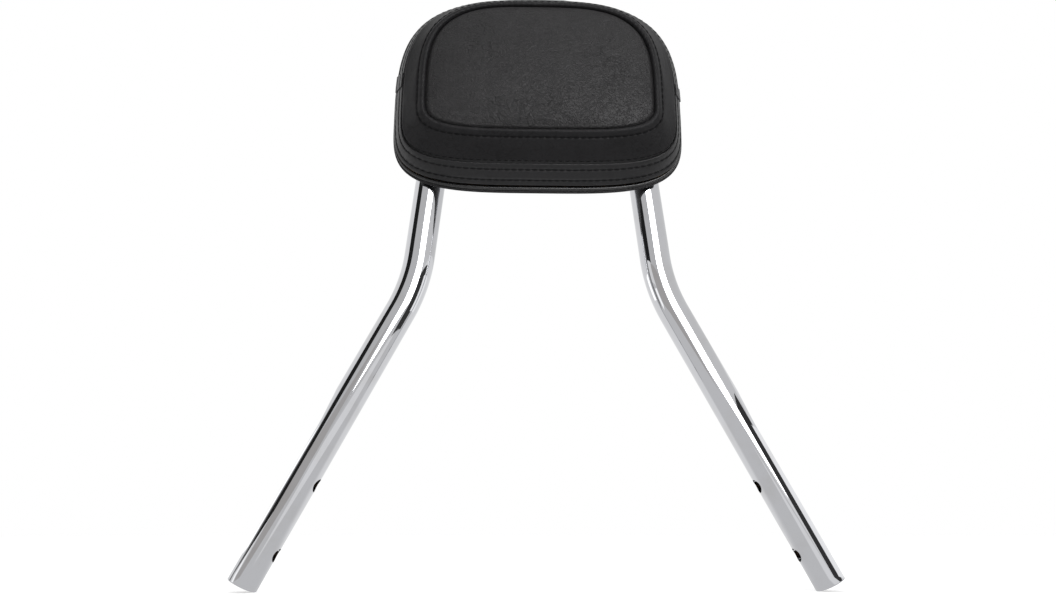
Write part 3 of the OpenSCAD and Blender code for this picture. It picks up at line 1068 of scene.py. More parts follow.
@dataclass(frozen=True)
class PadOutline:
    """The pad's outline and its copies set in from it."""

    mid_z: float = 380.5 * MM
    panel_mid_z: float = 407.25 * MM
    panel_inset: float = 32.2 * MM
    spacing_inset: float = 22 * MM
    knots: tuple[float, ...] = (0.0, 1.9, 13.4, 32.2)
    wide: tuple[float, ...] = (123.1, 121.5, 113.9, 92.8)
    rise: tuple[float, ...] = (116.0, 114.4, 102.9, 83.7)
    drop: tuple[float, ...] = (64.2, 61.1, 48.9, 29.2)
    top_power: tuple[float, ...] = (3.25, 3.25, 3.05, 3.4)
    bottom_power: tuple[float, ...] = (3.7, 3.8, 4.1, 4.05)

    def reach(self, table: tuple[float, ...], inset: np.ndarray) -> np.ndarray:
        """Read a table of lengths at insets, going on straight outside its knots."""
        knots = np.array(self.knots)
        return np.interp(inset / MM, knots, np.array(table) + knots) * MM - inset

    def place(self, inset: np.ndarray, depth: np.ndarray, angles: np.ndarray) -> np.ndarray:
        """Give points of the rim.

        Args:
            inset: Distances in from the largest outline, one per row.
            depth: Distances in front of the tube's plane, one per row.
            angles: Outline angles in radians, one per column.

        Returns:
            An array of rows, columns and x, y, z.
        """
        inset, depth = np.atleast_1d(inset)[:, None], np.atleast_1d(depth)[:, None]
        wide = self.reach(self.wide, inset)
        upper = np.sin(angles) >= 0
        top = np.interp(inset / MM, self.knots, self.top_power)
        bottom = np.interp(inset / MM, self.knots, self.bottom_power)
        power = 2 / np.where(upper, top, bottom)
        reach = np.where(upper, self.reach(self.rise, inset), self.reach(self.drop, inset))
        x = wide * np.sign(np.cos(angles)) * np.abs(np.cos(angles)) ** power
        z = self.mid_z + reach * np.sign(np.sin(angles)) * np.abs(np.sin(angles)) ** power
        return np.stack([x, np.broadcast_to(BAR_Y - depth, x.shape), z], -1)

    def line(self, inset: float, depth: float, angles: np.ndarray) -> np.ndarray:
        """Give the points of one line round the rim."""
        return self.place(np.array([inset]), np.array([depth]), angles)[0]

    def dense(self, inset: float, first: float, last: float) -> tuple[np.ndarray, np.ndarray]:
        """Follow the outline in close steps.

        Args:
            inset: Distance in from the largest outline.
            first: Angle to start from.
            last: Angle to end at.

        Returns:
            The outline angles, and the length along the outline at each.
        """
        quarter = math.pi / 2
        cuts = [first] + [k * quarter for k in range(-2, 9) if first < k * quarter < last] + [last]
        runs = []
        for a, b in zip(cuts, cuts[1:]):
            share = (1 - np.cos(np.linspace(0, np.pi, 900))) / 2
            runs.append(a + (b - a) * share)
        angles = np.unique(np.concatenate(runs))
        points = self.line(inset, 0.0, angles)
        length = np.concatenate([[0], np.cumsum(np.linalg.norm(np.diff(points, axis=0), axis=1))])
        return angles, length

    def even(self, inset: float, first: float, last: float, count: int) -> np.ndarray:
        """Give outline angles at even lengths from first up to but not including last."""
        angles, length = self.dense(inset, first, last)
        return np.interp(np.arange(count) / count * length[-1], length, angles)

    def round_trip(self, per_side: int) -> np.ndarray:
        """Give angles all the way round.

        Args:
            per_side: Angles on each side between two corners.

        Returns:
            The angles.
        """
        corners = [(2 * k - 1) * math.pi / 4 for k in range(5)]
        sides = [self.even(self.spacing_inset, a, b, per_side) for a, b in zip(corners, corners[1:])]
        return np.concatenate(sides)

    def length(self, inset: float) -> float:
        """Length round the outline at an inset."""
        return float(self.dense(inset, 0, 2 * math.pi)[1][-1])


class Section:
    """A smooth line across the pad's rim, through points of inset and depth in millimetres."""

    def __init__(self, *points: tuple[float, float]) -> None:
        """Measure the line.

        Args:
            points: Pairs of inset and depth.
        """
        self.points = np.array(points) * MM
        steps = np.linalg.norm(np.diff(self.points, axis=0), axis=1)
        self.along = np.concatenate([[0], np.cumsum(steps)])

    def at(self, along: np.ndarray) -> np.ndarray:
        """Give inset and depth at distances along the line."""
        return spline(self.along, self.points, np.atleast_1d(along))

    def even(self, count: int) -> np.ndarray:
        """Give even distances along the line."""
        return np.linspace(0, self.along[-1], count)


def grid_faces(rows: int, columns: int, wrap_rows: bool, wrap_columns: bool) -> np.ndarray:
    """Give the four-sided faces of a grid of points.

    Args:
        rows: Rows of points.
        columns: Points in a row.
        wrap_rows: Join the last row to the first.
        wrap_columns: Join the last column to the first.

    Returns:
        Four point numbers for each face.
    """
    i = np.arange(rows if wrap_rows else rows - 1)[:, None]
    j = np.arange(columns if wrap_columns else columns - 1)[None, :]
    i2, j2 = (i + 1) % rows, (j + 1) % columns
    corners = [i * columns + j, i * columns + j2, i2 * columns + j2, i2 * columns + j]
    return np.stack([np.broadcast_to(c, (i.shape[0], j.shape[1])) for c in corners], -1).reshape(-1, 4)


@dataclass
class SeamRow:
    """One row of machine stitches along the rim."""

    name: str
    section: Section
    along: float
    pitch: float
    thread_r: float = 0.42 * MM
    gap: float = 0.22
    lift: float = 0.12 * MM

    def count(self, outline: PadOutline) -> int:
        """Number of stitches round the pad."""
        return round(outline.length(self.section.at(self.along)[0, 0]) / self.pitch)


class Cushion:
    """The padded front of the backrest: centre panel, sloping border and boxing strip."""

    cage_side: int = 48
    cage_back: float = 23.0 * MM
    cage_shrink: tuple[float, float, float] = (0.96, 0.0, 0.94)
    cage_crown: float = 2.2 * MM
    fine_side: int = 240
    panel_cells: int = 160
    panel_edge: float = 60.9 * MM
    panel_step: float = 3.3 * MM
    panel_step_share: float = 0.034
    panel_crown: float = 4.1 * MM
    panel_power: float = 2.2
    panel_half: tuple[float, float] = (92 * MM, 57 * MM)
    cap_panel: float = 1.9 * MM
    cap_border: float = 1.1 * MM
    cap_boxing: float = 0.6 * MM
    ditch_inset: float = 31.5 * MM
    ditch_pitch: float = 4.6 * MM
    joint_inset: float = 6 * MM
    joint_z: float = 405 * MM
    tabs: tuple[tuple[str, float, float], ...] = (
        ("left", 401.5 * MM, 416.5 * MM), ("right", 397.0 * MM, 408.5 * MM),
    )
    tab_lift: float = 0.9 * MM
    tab_trim: float = 0.8 * MM
    frames: int = 20

    def __init__(self) -> None:
        """Set out the sections, the seams and the stitch rows."""
        self.outline = PadOutline()
        self.middle = np.array([0, BAR_Y, self.outline.mid_z])
        self.border = Section(
            (33.1, 60.2), (32.8, 61.7), (32.3, 63.5), (31.5, 64.75), (30.4, 65.0), (29.2, 64.3), (27.7, 62.5),
            (26.5, 61.0), (25.2, 59.2), (22.4, 55.3), (19.4, 51.3), (16.6, 47.8), (15.1, 46.1), (14.6, 45.4),
            (14.7, 44.8), (15.3, 44.0), (16.5, 42.6), (17.7, 41.0),
        )
        self.boxing = Section(
            (17.4, 39.2), (15.0, 40.0), (13.7, 41.8), (12.8, 42.1), (11.8, 40.8), (9.8, 37.4), (7.3, 33.3),
            (4.6, 28.7), (2.9, 26.2), (2.3, 25.1), (2.5, 24.5), (3.5, 24.1), (4.2, 22.6), (4.5, 18.2),
        )
        self.top_along = float(self.border.along[7])
        self.ridge_along = float(self.border.along[3])
        self.row_along = [float(self.boxing.along[5]), float(self.boxing.along[7])]
        foot = float(self.border.along[14]) + 0.5 * MM
        self.rows = [
            SeamRow("topstitch", self.border, self.top_along, STITCH),
            SeamRow("perimeter_stitch", self.border, foot, STITCH, 0.8 * MM, 0.12, 0.0),
            SeamRow("boxing_front_stitch", self.boxing, self.row_along[0], STITCH, 0.34 * MM),
            SeamRow("boxing_back_stitch", self.boxing, self.row_along[1], STITCH, 0.34 * MM),
        ]
        self.ditch_count = round(self.outline.length(self.ditch_inset) / self.ditch_pitch)

    def crown(self, scale: np.ndarray, height: float) -> np.ndarray:
        """Depth of the panel's face at a share of the way out to its seam."""
        edge = self.panel_edge + self.panel_step * ease((1 - scale) / self.panel_step_share)
        return edge + height * (1 - np.clip(scale, 0, 1) ** self.panel_power)

    def panel_points(self, cells: int, height: float) -> np.ndarray:
        """Give a square grid of points drawn to the panel's outline.

        Args:
            cells: Cells along a side.
            height: Rise of the panel's middle over its edge.

        Returns:
            An array of rows, columns and x, y, z.
        """
        ring = self.outline.round_trip(cells)
        u, v = np.meshgrid(np.arange(cells + 1), np.arange(cells + 1))
        x, z = 2 * u / cells - 1, 2 * v / cells - 1
        scale = np.maximum(np.abs(x), np.abs(z))
        safe = np.where(scale > 0, scale, 1)
        right, top, left = (x >= np.abs(z)), (z > np.abs(x)), (-x >= np.abs(z))
        share = np.select([right, top, left], [z / safe, -x / safe, -z / safe], x / safe)
        side = np.select([right, top, left], [0, 1, 2], 3)
        number = (side + (share + 1) / 2) * cells
        wrapped = np.concatenate([ring, ring[:1] + 2 * math.pi])
        angles = np.interp(number, np.arange(len(wrapped)), wrapped)
        rim = self.outline.line(self.outline.panel_inset, 0.0, angles.ravel()).reshape(*angles.shape, 3)
        middle = self.outline.panel_mid_z
        points = np.empty_like(rim)
        points[..., 0] = rim[..., 0] * scale
        points[..., 1] = BAR_Y - self.crown(scale, height)
        points[..., 2] = middle + (rim[..., 2] - middle) * scale
        return points

    def rim_rings(self) -> tuple[np.ndarray, list[int], int]:
        """Choose the cage's rings.

        Returns:
            Their insets and depths, which of them are sewn down, and where the boxing starts.
        """
        border = np.concatenate([
            [self.ridge_along, self.top_along],
            self.top_along + (self.border.along[13] - self.top_along) * np.arange(1, 9) / 8,
        ])
        front, back = self.row_along
        start, end = float(self.boxing.along[3]), float(self.boxing.along[9])
        boxing = np.concatenate([
            np.linspace(start, front, 4), np.linspace(front, back, 5)[1:], np.linspace(back, end, 4)[1:],
        ])
        rings = np.concatenate([self.border.at(border), self.boxing.at(boxing)])
        first = len(border)
        sewn = [0, 1, first - 1, first, first + 3, first + 7, first + 10]
        self.cage_border, self.cage_boxing = border, boxing
        return rings, sewn, first

    def inflate(self) -> tuple[np.ndarray, np.ndarray]:
        """Blow the stuffed cover up between its seams.

        Returns:
            How far the panel's grid and the rim's rings move.
        """
        rings, sewn, first = self.rim_rings()
        cells = self.cage_side
        panel = self.panel_points(cells, self.cage_crown)
        angles = self.outline.round_trip(cells)
        rim = self.outline.place(rings[:, 0], rings[:, 1], angles)
        side = cells + 1
        edge = self.edge_numbers(side)
        hub = np.array([[0, BAR_Y - self.cage_back, self.outline.mid_z]])
        back = hub + (rim[-1] - hub) * np.array(self.cage_shrink)
        points = np.concatenate([panel.reshape(-1, 3), rim.reshape(-1, 3), back, hub])
        faces = [list(f) for f in grid_faces(side, side, False, False)]
        count = len(edge)
        base = side * side
        for k in range(count):
            n = (k + 1) % count
            faces.append([edge[k], base + k, base + n, edge[n]])
        for r in range(len(rings)):
            for k in range(count):
                n = (k + 1) % count
                a, b = base + r * count, base + (r + 1) * count
                faces.append([a + k, b + k, b + n, a + n])
        last = base + len(rings) * count
        faces += [[last + k, last + count, last + (k + 1) % count] for k in range(count)]
        cage = Bench.mesh("cushion_cage", points, faces)
        Bench.tidy(cage, 0)
        held = set(edge) | set(range(last, last + count + 1))
        for r in sewn:
            held |= set(range(base + r * count, base + (r + 1) * count))
        pins = cage.vertex_groups.new(name="sewn")
        pins.add(sorted(int(i) for i in held), 1.0, "REPLACE")
        shift = self.simulate(cage) - points
        Bench.drop(cage)
        return shift[:base].reshape(side, side, 3), shift[base:last].reshape(len(rings), count, 3)

    @staticmethod
    def edge_numbers(side: int) -> list[int]:
        """Walk round a square grid from its lower right corner upwards.

        Args:
            side: Points along a side.

        Returns:
            The point numbers of the edge.
        """
        right = [r * side + side - 1 for r in range(side - 1)]
        top = [(side - 1) * side + c for c in range(side - 1, 0, -1)]
        left = [r * side for r in range(side - 1, 0, -1)]
        bottom = list(range(side - 1))
        return right + top + left + bottom

    def simulate(self, cage: bpy.types.Object) -> np.ndarray:
        """Run the cloth under pressure.

        Args:
            cage: The closed cover with its sewn points in a vertex group.

        Returns:
            Its points at the end.
        """
        Bench.hold(cage)
        cloth = cage.modifiers.new("Cloth", "CLOTH")
        settings = cloth.settings
        settings.use_pressure = True
        settings.uniform_pressure_force = 4
        settings.effector_weights.gravity = 0
        settings.vertex_group_mass = "sewn"
        settings.quality = 5
        settings.tension_stiffness = settings.compression_stiffness = 25
        settings.bending_stiffness = 1.2
        cloth.collision_settings.use_collision = False
        cloth.point_cache.frame_start, cloth.point_cache.frame_end = 1, self.frames
        scene = bpy.context.scene
        for number in range(1, self.frames + 1):
            scene.frame_set(number)
        bpy.ops.object.modifier_apply(modifier=cloth.name)
        scene.frame_set(1)
        out = np.empty(len(cage.data.vertices) * 3)
        cage.data.vertices.foreach_get("co", out)
        return out.reshape(-1, 3)

    def panel_shares(self, points: np.ndarray) -> tuple[np.ndarray, np.ndarray]:
        """Give places on the panel as shares of the way out, across and up."""
        wide, high = self.panel_half
        return points[..., 0] / wide, (points[..., 2] - self.outline.panel_mid_z) / high

    @staticmethod
    def capped(shift: np.ndarray, cap: float) -> np.ndarray:
        """Scale a shift so that all but its farthest few points move by no more than the cap."""
        far = float(np.percentile(np.linalg.norm(shift, axis=-1), 99.5))
        return shift * (cap / far if far > 1e-9 else 1.0)

    @staticmethod
    def wrap_spline(values: np.ndarray, factor: int) -> np.ndarray:
        """Refine rings of values smoothly all the way round.

        Args:
            values: Rings of points.
            factor: New points for each old one.

        Returns:
            The finer rings.
        """
        count = values.shape[1]
        padded = np.concatenate([values[:, -3:], values, values[:, :4]], axis=1).swapaxes(0, 1)
        wanted = np.arange(count * factor) / factor
        return spline(np.arange(-3, count + 4, dtype=float), padded, wanted).swapaxes(0, 1)

    def rim_mesh(
        self,
        name: str,
        section: Section,
        rows: np.ndarray,
        knots: np.ndarray,
        shift: np.ndarray,
        detail: Callable[[np.ndarray, np.ndarray], np.ndarray],
        span: Optional[tuple[float, float]] = None,
        lift: float = 0.0,
    ) -> bpy.types.Object:
        """Sweep a stuffed strip round the pad as a closed shell.

        Args:
            name: The object's name.
            section: The strip's line across.
            rows: Distances along the line of the outer rows.
            knots: Distances at which the shift is known.
            shift: How far the cage's rings move at those distances.
            detail: Gives how far each point stands proud, from rows and points.
            span: First and last outline angle, or none for all the way round.
            lift: Distance by which the whole strip stands out.

        Returns:
            The object.
        """
        factor = self.fine_side // self.cage_side
        angles = self.outline.round_trip(self.fine_side)
        flat = section.at(rows)
        outer = self.outline.place(flat[:, 0], flat[:, 1], angles)
        fine = self.wrap_spline(shift, factor)
        inside = np.clip(rows, knots[0], knots[-1])
        outer = outer + spline(knots, fine, inside)
        keep = self.within(angles, span) if span else np.arange(len(angles))
        self.angles_now, outer = angles[keep], outer[:, keep]
        normal = self.normals(outer, span is None)
        proud = detail(rows, outer) + lift
        skin = outer + normal * proud[..., None]
        picks = np.linspace(0, len(rows) - 1, 7).round().astype(int)[::-1]
        inner = outer[picks] - normal[picks] * (SKIN - lift)
        points = np.concatenate([skin, inner])
        faces = list(grid_faces(len(points), points.shape[1], True, span is None))
        if span:
            count, width = points.shape[:2]
            faces.append([r * width for r in range(count)])
            faces.append([r * width + width - 1 for r in reversed(range(count))])
        piece = Bench.mesh(name, points, faces)
        Bench.tidy(piece, 0)
        return piece

    @staticmethod
    def within(angles: np.ndarray, span: tuple[float, float]) -> np.ndarray:
        """Pick the angles of a span.

        Args:
            angles: Outline angles.
            span: First and last outline angle.

        Returns:
            The numbers of the angles inside the span, in order from its start.
        """
        turn = (angles - span[0]) % (2 * math.pi)
        order = np.argsort(turn)
        return order[turn[order] <= span[1] - span[0]]

    def normals(self, points: np.ndarray, closed: bool) -> np.ndarray:
        """Find which way a strip faces.

        Args:
            points: The strip's rings.
            closed: Whether the rings go all the way round.

        Returns:
            The outward direction at each point.
        """
        across = np.gradient(points, axis=0)
        if closed:
            along = np.roll(points, -1, axis=1) - np.roll(points, 1, axis=1)
        else:
            along = np.gradient(points, axis=1)
        normal = np.cross(along, across)
        normal /= np.maximum(np.linalg.norm(normal, axis=-1, keepdims=True), 1e-12)
        row = normal[len(points) // 2]
        away = points[len(points) // 2] - self.middle
        return normal if np.sum(row * away) > 0 else -normal

    def turns(self, inset: float) -> np.ndarray:
        """Give each column's share of the way round the outline at an inset, from the right-hand side."""
        table, length = self.outline.dense(inset, 0, 2 * math.pi)
        return np.interp(self.angles_now % (2 * math.pi), table, length) / length[-1]

    def dimples(self, row: SeamRow) -> np.ndarray:
        """Give a wave round the strip that is 1 at a stitch's ends and 0 at its middle."""
        turns = self.turns(row.section.at(row.along)[0, 0])
        return (0.5 + 0.5 * np.cos(2 * math.pi * turns * row.count(self.outline)))[None, :]

    @staticmethod
    def ridge(rows: np.ndarray, middle: float, width: float) -> np.ndarray:
        """Give a bell that is 1 on one row of a strip and fades over a width."""
        return np.exp(-(((rows - middle) / width) ** 2))[:, None]

    def border_detail(self, rows: np.ndarray, points: np.ndarray) -> np.ndarray:
        """Sink the top stitching, notch the folded edge and lay a few creases on the border.

        Args:
            rows: Distances of the rows along the section.
            points: The strip's points.

        Returns:
            How far each point stands proud.
        """
        top, perimeter = self.rows[0], self.rows[1]
        wave, bite = self.dimples(top), self.dimples(perimeter) ** 2
        groove = self.ridge(rows, self.top_along, 0.75 * MM)
        fold = self.ridge(rows, self.ridge_along + 0.5 * MM, 1.0 * MM)
        foot = self.ridge(rows, perimeter.along, 1.1 * MM)
        ditch = self.turns(self.ditch_inset)[None, :] * self.ditch_count
        scallop = (0.5 + 0.5 * np.cos(2 * math.pi * ditch)) ** 2
        flat, shape = points.reshape(-1, 3), points.shape[:2]
        soft = ripple(flat, 14 * MM, 3.1).reshape(shape)
        sharp = 1 - np.abs(ripple(flat * [1, 1, 0.5], 9 * MM, 7.7).reshape(shape)) * 5
        where = ease((ripple(flat, 34 * MM, 1.3).reshape(shape) - 0.05) / 0.3)
        free = ease((rows - self.top_along - 1.5 * MM) / (4 * MM))[:, None]
        crease = -0.10 * MM * np.clip(sharp, 0, 1) * where * free
        return (
            -groove * (0.45 + 0.35 * wave) * MM - fold * 0.34 * MM * scallop - foot * 0.32 * MM * bite
            + 0.07 * MM * soft * free + crease
        )

    def boxing_detail(self, rows: np.ndarray, points: np.ndarray) -> np.ndarray:
        """Sink the two stitch rows of the boxing and pucker it between them.

        Args:
            rows: Distances of the rows along the section.
            points: The strip's points.

        Returns:
            How far each point stands proud.
        """
        out = np.zeros(points.shape[:2])
        for row in self.rows[2:]:
            wave = self.dimples(row)
            groove = self.ridge(rows, row.along, 0.7 * MM)
            near = self.ridge(rows, row.along, 2.2 * MM)
            out -= groove * (0.42 + 0.35 * wave) * MM + near * 0.16 * MM * wave
        out += 0.10 * MM * ripple(points.reshape(-1, 3), 11 * MM, 5.2).reshape(points.shape[:2])
        seam = self.ridge(rows, self.boxing.along[3], 1.6 * MM)
        return out - seam * 0.22 * MM * self.dimples(self.rows[1])

    def panel(self, shift: np.ndarray) -> bpy.types.Object:
        """Make the crowned centre panel with its flowing creases.

        Args:
            shift: How far the cage's grid moves.

        Returns:
            The panel.
        """
        cells = self.panel_cells
        points = self.panel_points(cells, self.panel_crown)
        knots = np.arange(self.cage_side + 1, dtype=float)
        wanted = np.linspace(0, self.cage_side, cells + 1)
        fine = spline(knots, spline(knots, shift, wanted).swapaxes(0, 1), wanted).swapaxes(0, 1)
        points = points + fine
        flat = points.reshape(-1, 3)
        x, z = flat[:, 0], flat[:, 2] - self.outline.panel_mid_z
        bend = ripple(flat, 46 * MM, 2.0) * 13 * MM
        lean = np.stack([x * 0.86 + z * 0.5 + bend, x * 0, (z * 0.86 - x * 0.5 + bend * 0.7) * 2.1], -1)
        long_web = 1 - np.abs(ripple(lean, 17 * MM, 4.4)) * 5.5
        short_web = 1 - np.abs(ripple(flat + bend[:, None] * 0.4, 7.5 * MM, 9.2)) * 4.5
        where = ease((ripple(flat, 42 * MM, 6.3) + 0.12 + x * 2.2 - z * 1.6) / 0.45)
        where_short = ease((ripple(flat, 30 * MM, 12.6) + 0.15) / 0.4)
        calm = ease((1 - np.abs(np.stack(self.panel_shares(flat))).max(axis=0)) / 0.14)
        depth = np.clip(long_web, 0, 1) * where * 0.22 + np.clip(short_web, 0, 1) * where_short * 0.09
        depth -= ripple(flat, 24 * MM, 8.1) * 0.18
        points[..., 1] += (depth * calm * MM).reshape(cells + 1, cells + 1)
        piece = Bench.mesh("centre_panel_cover", points, grid_faces(cells + 1, cells + 1, False, False))
        if sum(p.normal.y for p in piece.data.polygons) > 0:
            piece.data.flip_normals()
        Bench.modify(piece, "SOLIDIFY", thickness=SKIN, offset=-1)
        return piece

    def build(self) -> None:
        """Stuff the cover and cut it into its pieces."""
        panel_shift, rim_shift = self.inflate()
        first = len(self.cage_border)
        panel = self.panel(self.capped(panel_shift, self.cap_panel))
        border_shift = self.capped(rim_shift[:first], self.cap_border)
        self.boxing_shift = self.capped(rim_shift[first:], self.cap_boxing)
        border = self.rim_mesh(
            "border_cover", self.border, self.border.even(70), self.cage_border, border_shift,
            self.border_detail,
        )
        made = [
            (panel, Finish.PANEL, "grained_vinyl", "centre_panel"),
            (border, Finish.BORDER, "grained_vinyl", "border_panel"),
        ]
        joint = self.joint_angle(self.joint_z)
        ends = (joint, math.pi - joint, joint + 2 * math.pi)
        for name, span in (("boxing_upper", ends[:2]), ("boxing_lower", ends[1:])):
            piece = self.boxing_strip(f"{name}_strip", span, self.boxing.even(52))
            made.append((piece, Finish.BOXING, "grained_vinyl", name))
        lines = np.linspace(self.boxing.along[2] + self.tab_trim, self.boxing.along[9], 40)
        for side, low, high in self.tabs:
            a, b = self.joint_angle(low), self.joint_angle(high)
            span = (a, b) if side == "right" else (math.pi - b, math.pi - a)
            piece = self.boxing_strip(f"joint_tab_{side}_lap", span, lines, self.tab_lift)
            made.append((piece, Finish.BOXING, "edge_vinyl", f"joint_tab_{side}"))
        for piece, finish, slot, node in made:
            finish_piece(piece, finish, [node], 60)

    def joint_angle(self, z: float) -> float:
        """Find the outline angle on the right-hand side at a height.

        Args:
            z: The height.

        Returns:
            The angle.
        """
        angles, _ = self.outline.dense(self.joint_inset, 0.0, math.pi / 2)
        heights = self.outline.line(self.joint_inset, 0.0, angles)[:, 2]
        return float(np.interp(z, heights, angles))

    def boxing_strip(
        self, name: str, span: tuple[float, float], lines: np.ndarray, lift: float = 0.0
    ) -> bpy.types.Object:
        """Make a length of the boxing strip between two outline angles."""
        knots, shift = self.cage_boxing, self.boxing_shift
        return self.rim_mesh(name, self.boxing, lines, knots, shift, self.boxing_detail, span, lift)

    def stitch(self) -> tuple[np.ndarray, list[list[int]]]:
        """Give one stitch of unit length: a thread that rises from one hole and dips into the next.

        Returns:
            Its points and faces.
        """
        rings, sides = 7, 6
        points = []
        for i in range(rings):
            t = i / (rings - 1)
            arch = math.sin(math.pi * t)
            radius = 0.42 + 0.58 * math.sin(math.pi * min(max(t, 0.04), 0.96)) ** 0.5
            for k in range(sides):
                a = 2 * math.pi * k / sides
                points.append((t - 0.5, radius * math.cos(a), radius * math.sin(a) + arch * 0.9 - 0.8))
        faces = [list(f) for f in grid_faces(rings, sides, False, True)]
        faces.append(list(range(sides)))
        faces.append(list(reversed(range((rings - 1) * sides, rings * sides))))
        return np.array(points), faces

    def stitch_row(self, row: SeamRow) -> None:
        """Lay a row of stitches as one piece.

        Args:
            row: The row.
        """
        spot = row.section.at(row.along)[0]
        ahead = row.section.at(row.along + 0.4 * MM)[0]
        behind = row.section.at(row.along - 0.4 * MM)[0]
        count = row.count(self.outline)
        table, length = self.outline.dense(spot[0], 0, 2 * math.pi)
        middles = (np.arange(count) + 0.5) / count
        angles = np.interp(middles * length[-1], length, table)
        nudge = 1e-3
        points, faces = self.stitch()
        long = length[-1] / count * (1 - row.gap)
        out, shapes = [], []
        for number, angle in enumerate(angles):
            trio = np.array([angle - nudge, angle, angle + nudge])
            here = self.outline.line(*spot, trio)
            along = here[2] - here[0]
            along /= np.linalg.norm(along)
            across = self.outline.line(*ahead, trio)[1] - self.outline.line(*behind, trio)[1]
            across -= along * (across @ along)
            across /= np.linalg.norm(across)
            up = np.cross(across, along)
            if up @ (here[1] - self.middle) < 0:
                up = -up
            centre = here[1] + up * row.lift
            out.append(
                centre + np.outer(points[:, 0] * long, along)
                + np.outer(points[:, 1] * row.thread_r, across) + np.outer(points[:, 2] * row.thread_r, up)
            )
            shapes += [[i + number * len(points) for i in f] for f in faces]
        piece = Bench.mesh(row.name, np.concatenate(out), shapes)
        Bench.tidy(piece, 0)
        finish_piece(piece, Finish.THREAD, (), 60)

    def sew(self) -> None:
        """Lay every row of stitches."""
        ditch = Section((32.6, 63.0), (31.9, 63.2), (31.2, 63.4))
        along = float(ditch.along[1])
        last = SeamRow("ditch_stitch", ditch, along, self.ditch_pitch, 0.5 * MM, 0.12, 0.15 * MM)
        for row in self.rows + [last]:
            self.stitch_row(row)


@dataclass
class RimTrim:
    """Welt cord and back cover, which close the pad behind the boxing."""

    outline: PadOutline = field(default_factory=PadOutline)
    welt_r: float = 1.4 * MM
    welt_inset: float = 1.0 * MM
    welt_depth: float = 19.0 * MM
    around: int = 200
    cover_back: float = 15.0 * MM
    cover_front: float = 16.2 * MM
    punch_r: float = 3.6 * MM

    def ring(self, name: str, section: np.ndarray) -> bpy.types.Object:
        """Sweep a closed section round the pad.

        Args:
            name: The object's name.
            section: Pairs of inset and depth.

        Returns:
            The object.
        """
        angles = self.outline.round_trip(self.around)
        points = self.outline.place(section[:, 0], section[:, 1], angles)
        piece = Bench.mesh(name, points, grid_faces(*points.shape[:2], True, True))
        Bench.tidy(piece, 0)
        return piece

    def welt(self) -> None:
        """Make the covered cord in the gap behind the boxing."""
        turn = np.linspace(0, 2 * math.pi, 20, endpoint=False)
        section = np.stack([
            self.welt_inset + self.welt_r * (1 - np.cos(turn)), self.welt_depth + self.welt_r * np.sin(turn)
        ], -1)
        piece = self.ring("welt_cover", section)
        finish_piece(piece, Finish.EDGE, ["welt_cord"], 60)

    def drawn(self, base: np.ndarray, share: float, depth: float) -> np.ndarray:
        """Draw a ring in towards the cover's middle.

        Args:
            base: The ring.
            share: How much of its size is left.
            depth: Its new depth.

        Returns:
            The smaller ring.
        """
        middle = np.array([0, 0, self.outline.panel_mid_z - 10 * MM])
        out = middle + (base - middle) * share
        out[:, 1] = BAR_Y - depth
        return out

    def back_cover(self) -> None:
        """Make the back cover, its edge rolled forward round the board."""
        lip = Section(
            (4.5, 16.6), (3.7, 17.3), (2.7, 17.6), (1.6, 17.5), (0.6, 17.1), (0.05, 16.6), (0.0, 16.1),
            (0.4, 15.5), (1.2, 15.15), (2.4, 15.02), (4.2, 15.0),
        )
        rolled = lip.at(lip.even(34))
        angles = self.outline.round_trip(self.around)
        rings = [self.outline.line(*place, angles) for place in rolled]
        shares = [0.97, 0.93, 0.86, 0.76, 0.62, 0.46, 0.3, 0.14, 0.03]
        front_shares = [0.03, 0.3, 0.7, 0.93, 0.985]
        inside = [self.drawn(rings[-1], share, self.cover_front) for share in front_shares]
        inside.append(self.outline.line(4.5 * MM, 16.9 * MM, angles))
        waves = [self.cover_back + 0.05 * MM * math.sin(9 * share) for share in shares]
        outside = [self.drawn(rings[-1], share, depth) for share, depth in zip(shares, waves)]
        points = np.stack(inside + rings + outside)
        count, width = points.shape[:2]
        faces = list(grid_faces(count, width, False, True))
        faces += [list(range(width)), [(count - 1) * width + i for i in reversed(range(width))]]
        piece = Bench.mesh("back_cover_vinyl", points, faces)
        Bench.tidy(piece, 0)
        for _, z in STRAP_ROWS:
            for side, _ in SIDES:
                place = (side * SCREW_X, BAR_Y - (self.cover_front + self.cover_back) / 2, z)
                Bench.drill(piece, self.punch_r, 6 * MM, place, sides=40)
        finish_piece(piece, Finish.BACK, ["back_cover"], 50)


# Studio


@dataclass
class Wall:
    """An upright panel that only reflections see, standing between two places on the floor plan."""

    name: str
    start: tuple[float, float]
    end: tuple[float, float]
    low: float
    high: float
    level: float
    colour: Colour = (1.0, 1.0, 1.0)

    def build(self) -> None:
        """Stand the panel up."""
        start, end = Vector(self.start), Vector(self.end)
        middle, run = (start + end) / 2, end - start
        card = Bench.start(bpy.ops.mesh.primitive_plane_add, self.name, size=1)
        card.data.transform(
            Matrix.Translation((middle.x, middle.y, (self.low + self.high) / 2))
            @ Matrix.Rotation(math.atan2(run.y, run.x), 4, "Z") @ Matrix.Rotation(math.pi / 2, 4, "X")
            @ Matrix.Diagonal((run.length, self.high - self.low, 1, 1))
        )
        tree = ShaderTree(f"{self.name}_paper")
        light = tree.node("ShaderNodeEmission", None, {"Color": self.colour, "Strength": self.level})
        tree.wire(tree.out.inputs["Surface"], light.outputs[0])
        card.data.materials.append(tree.material)
        card.visible_camera = card.visible_diffuse = card.visible_shadow = False
        card.visible_transmission = False


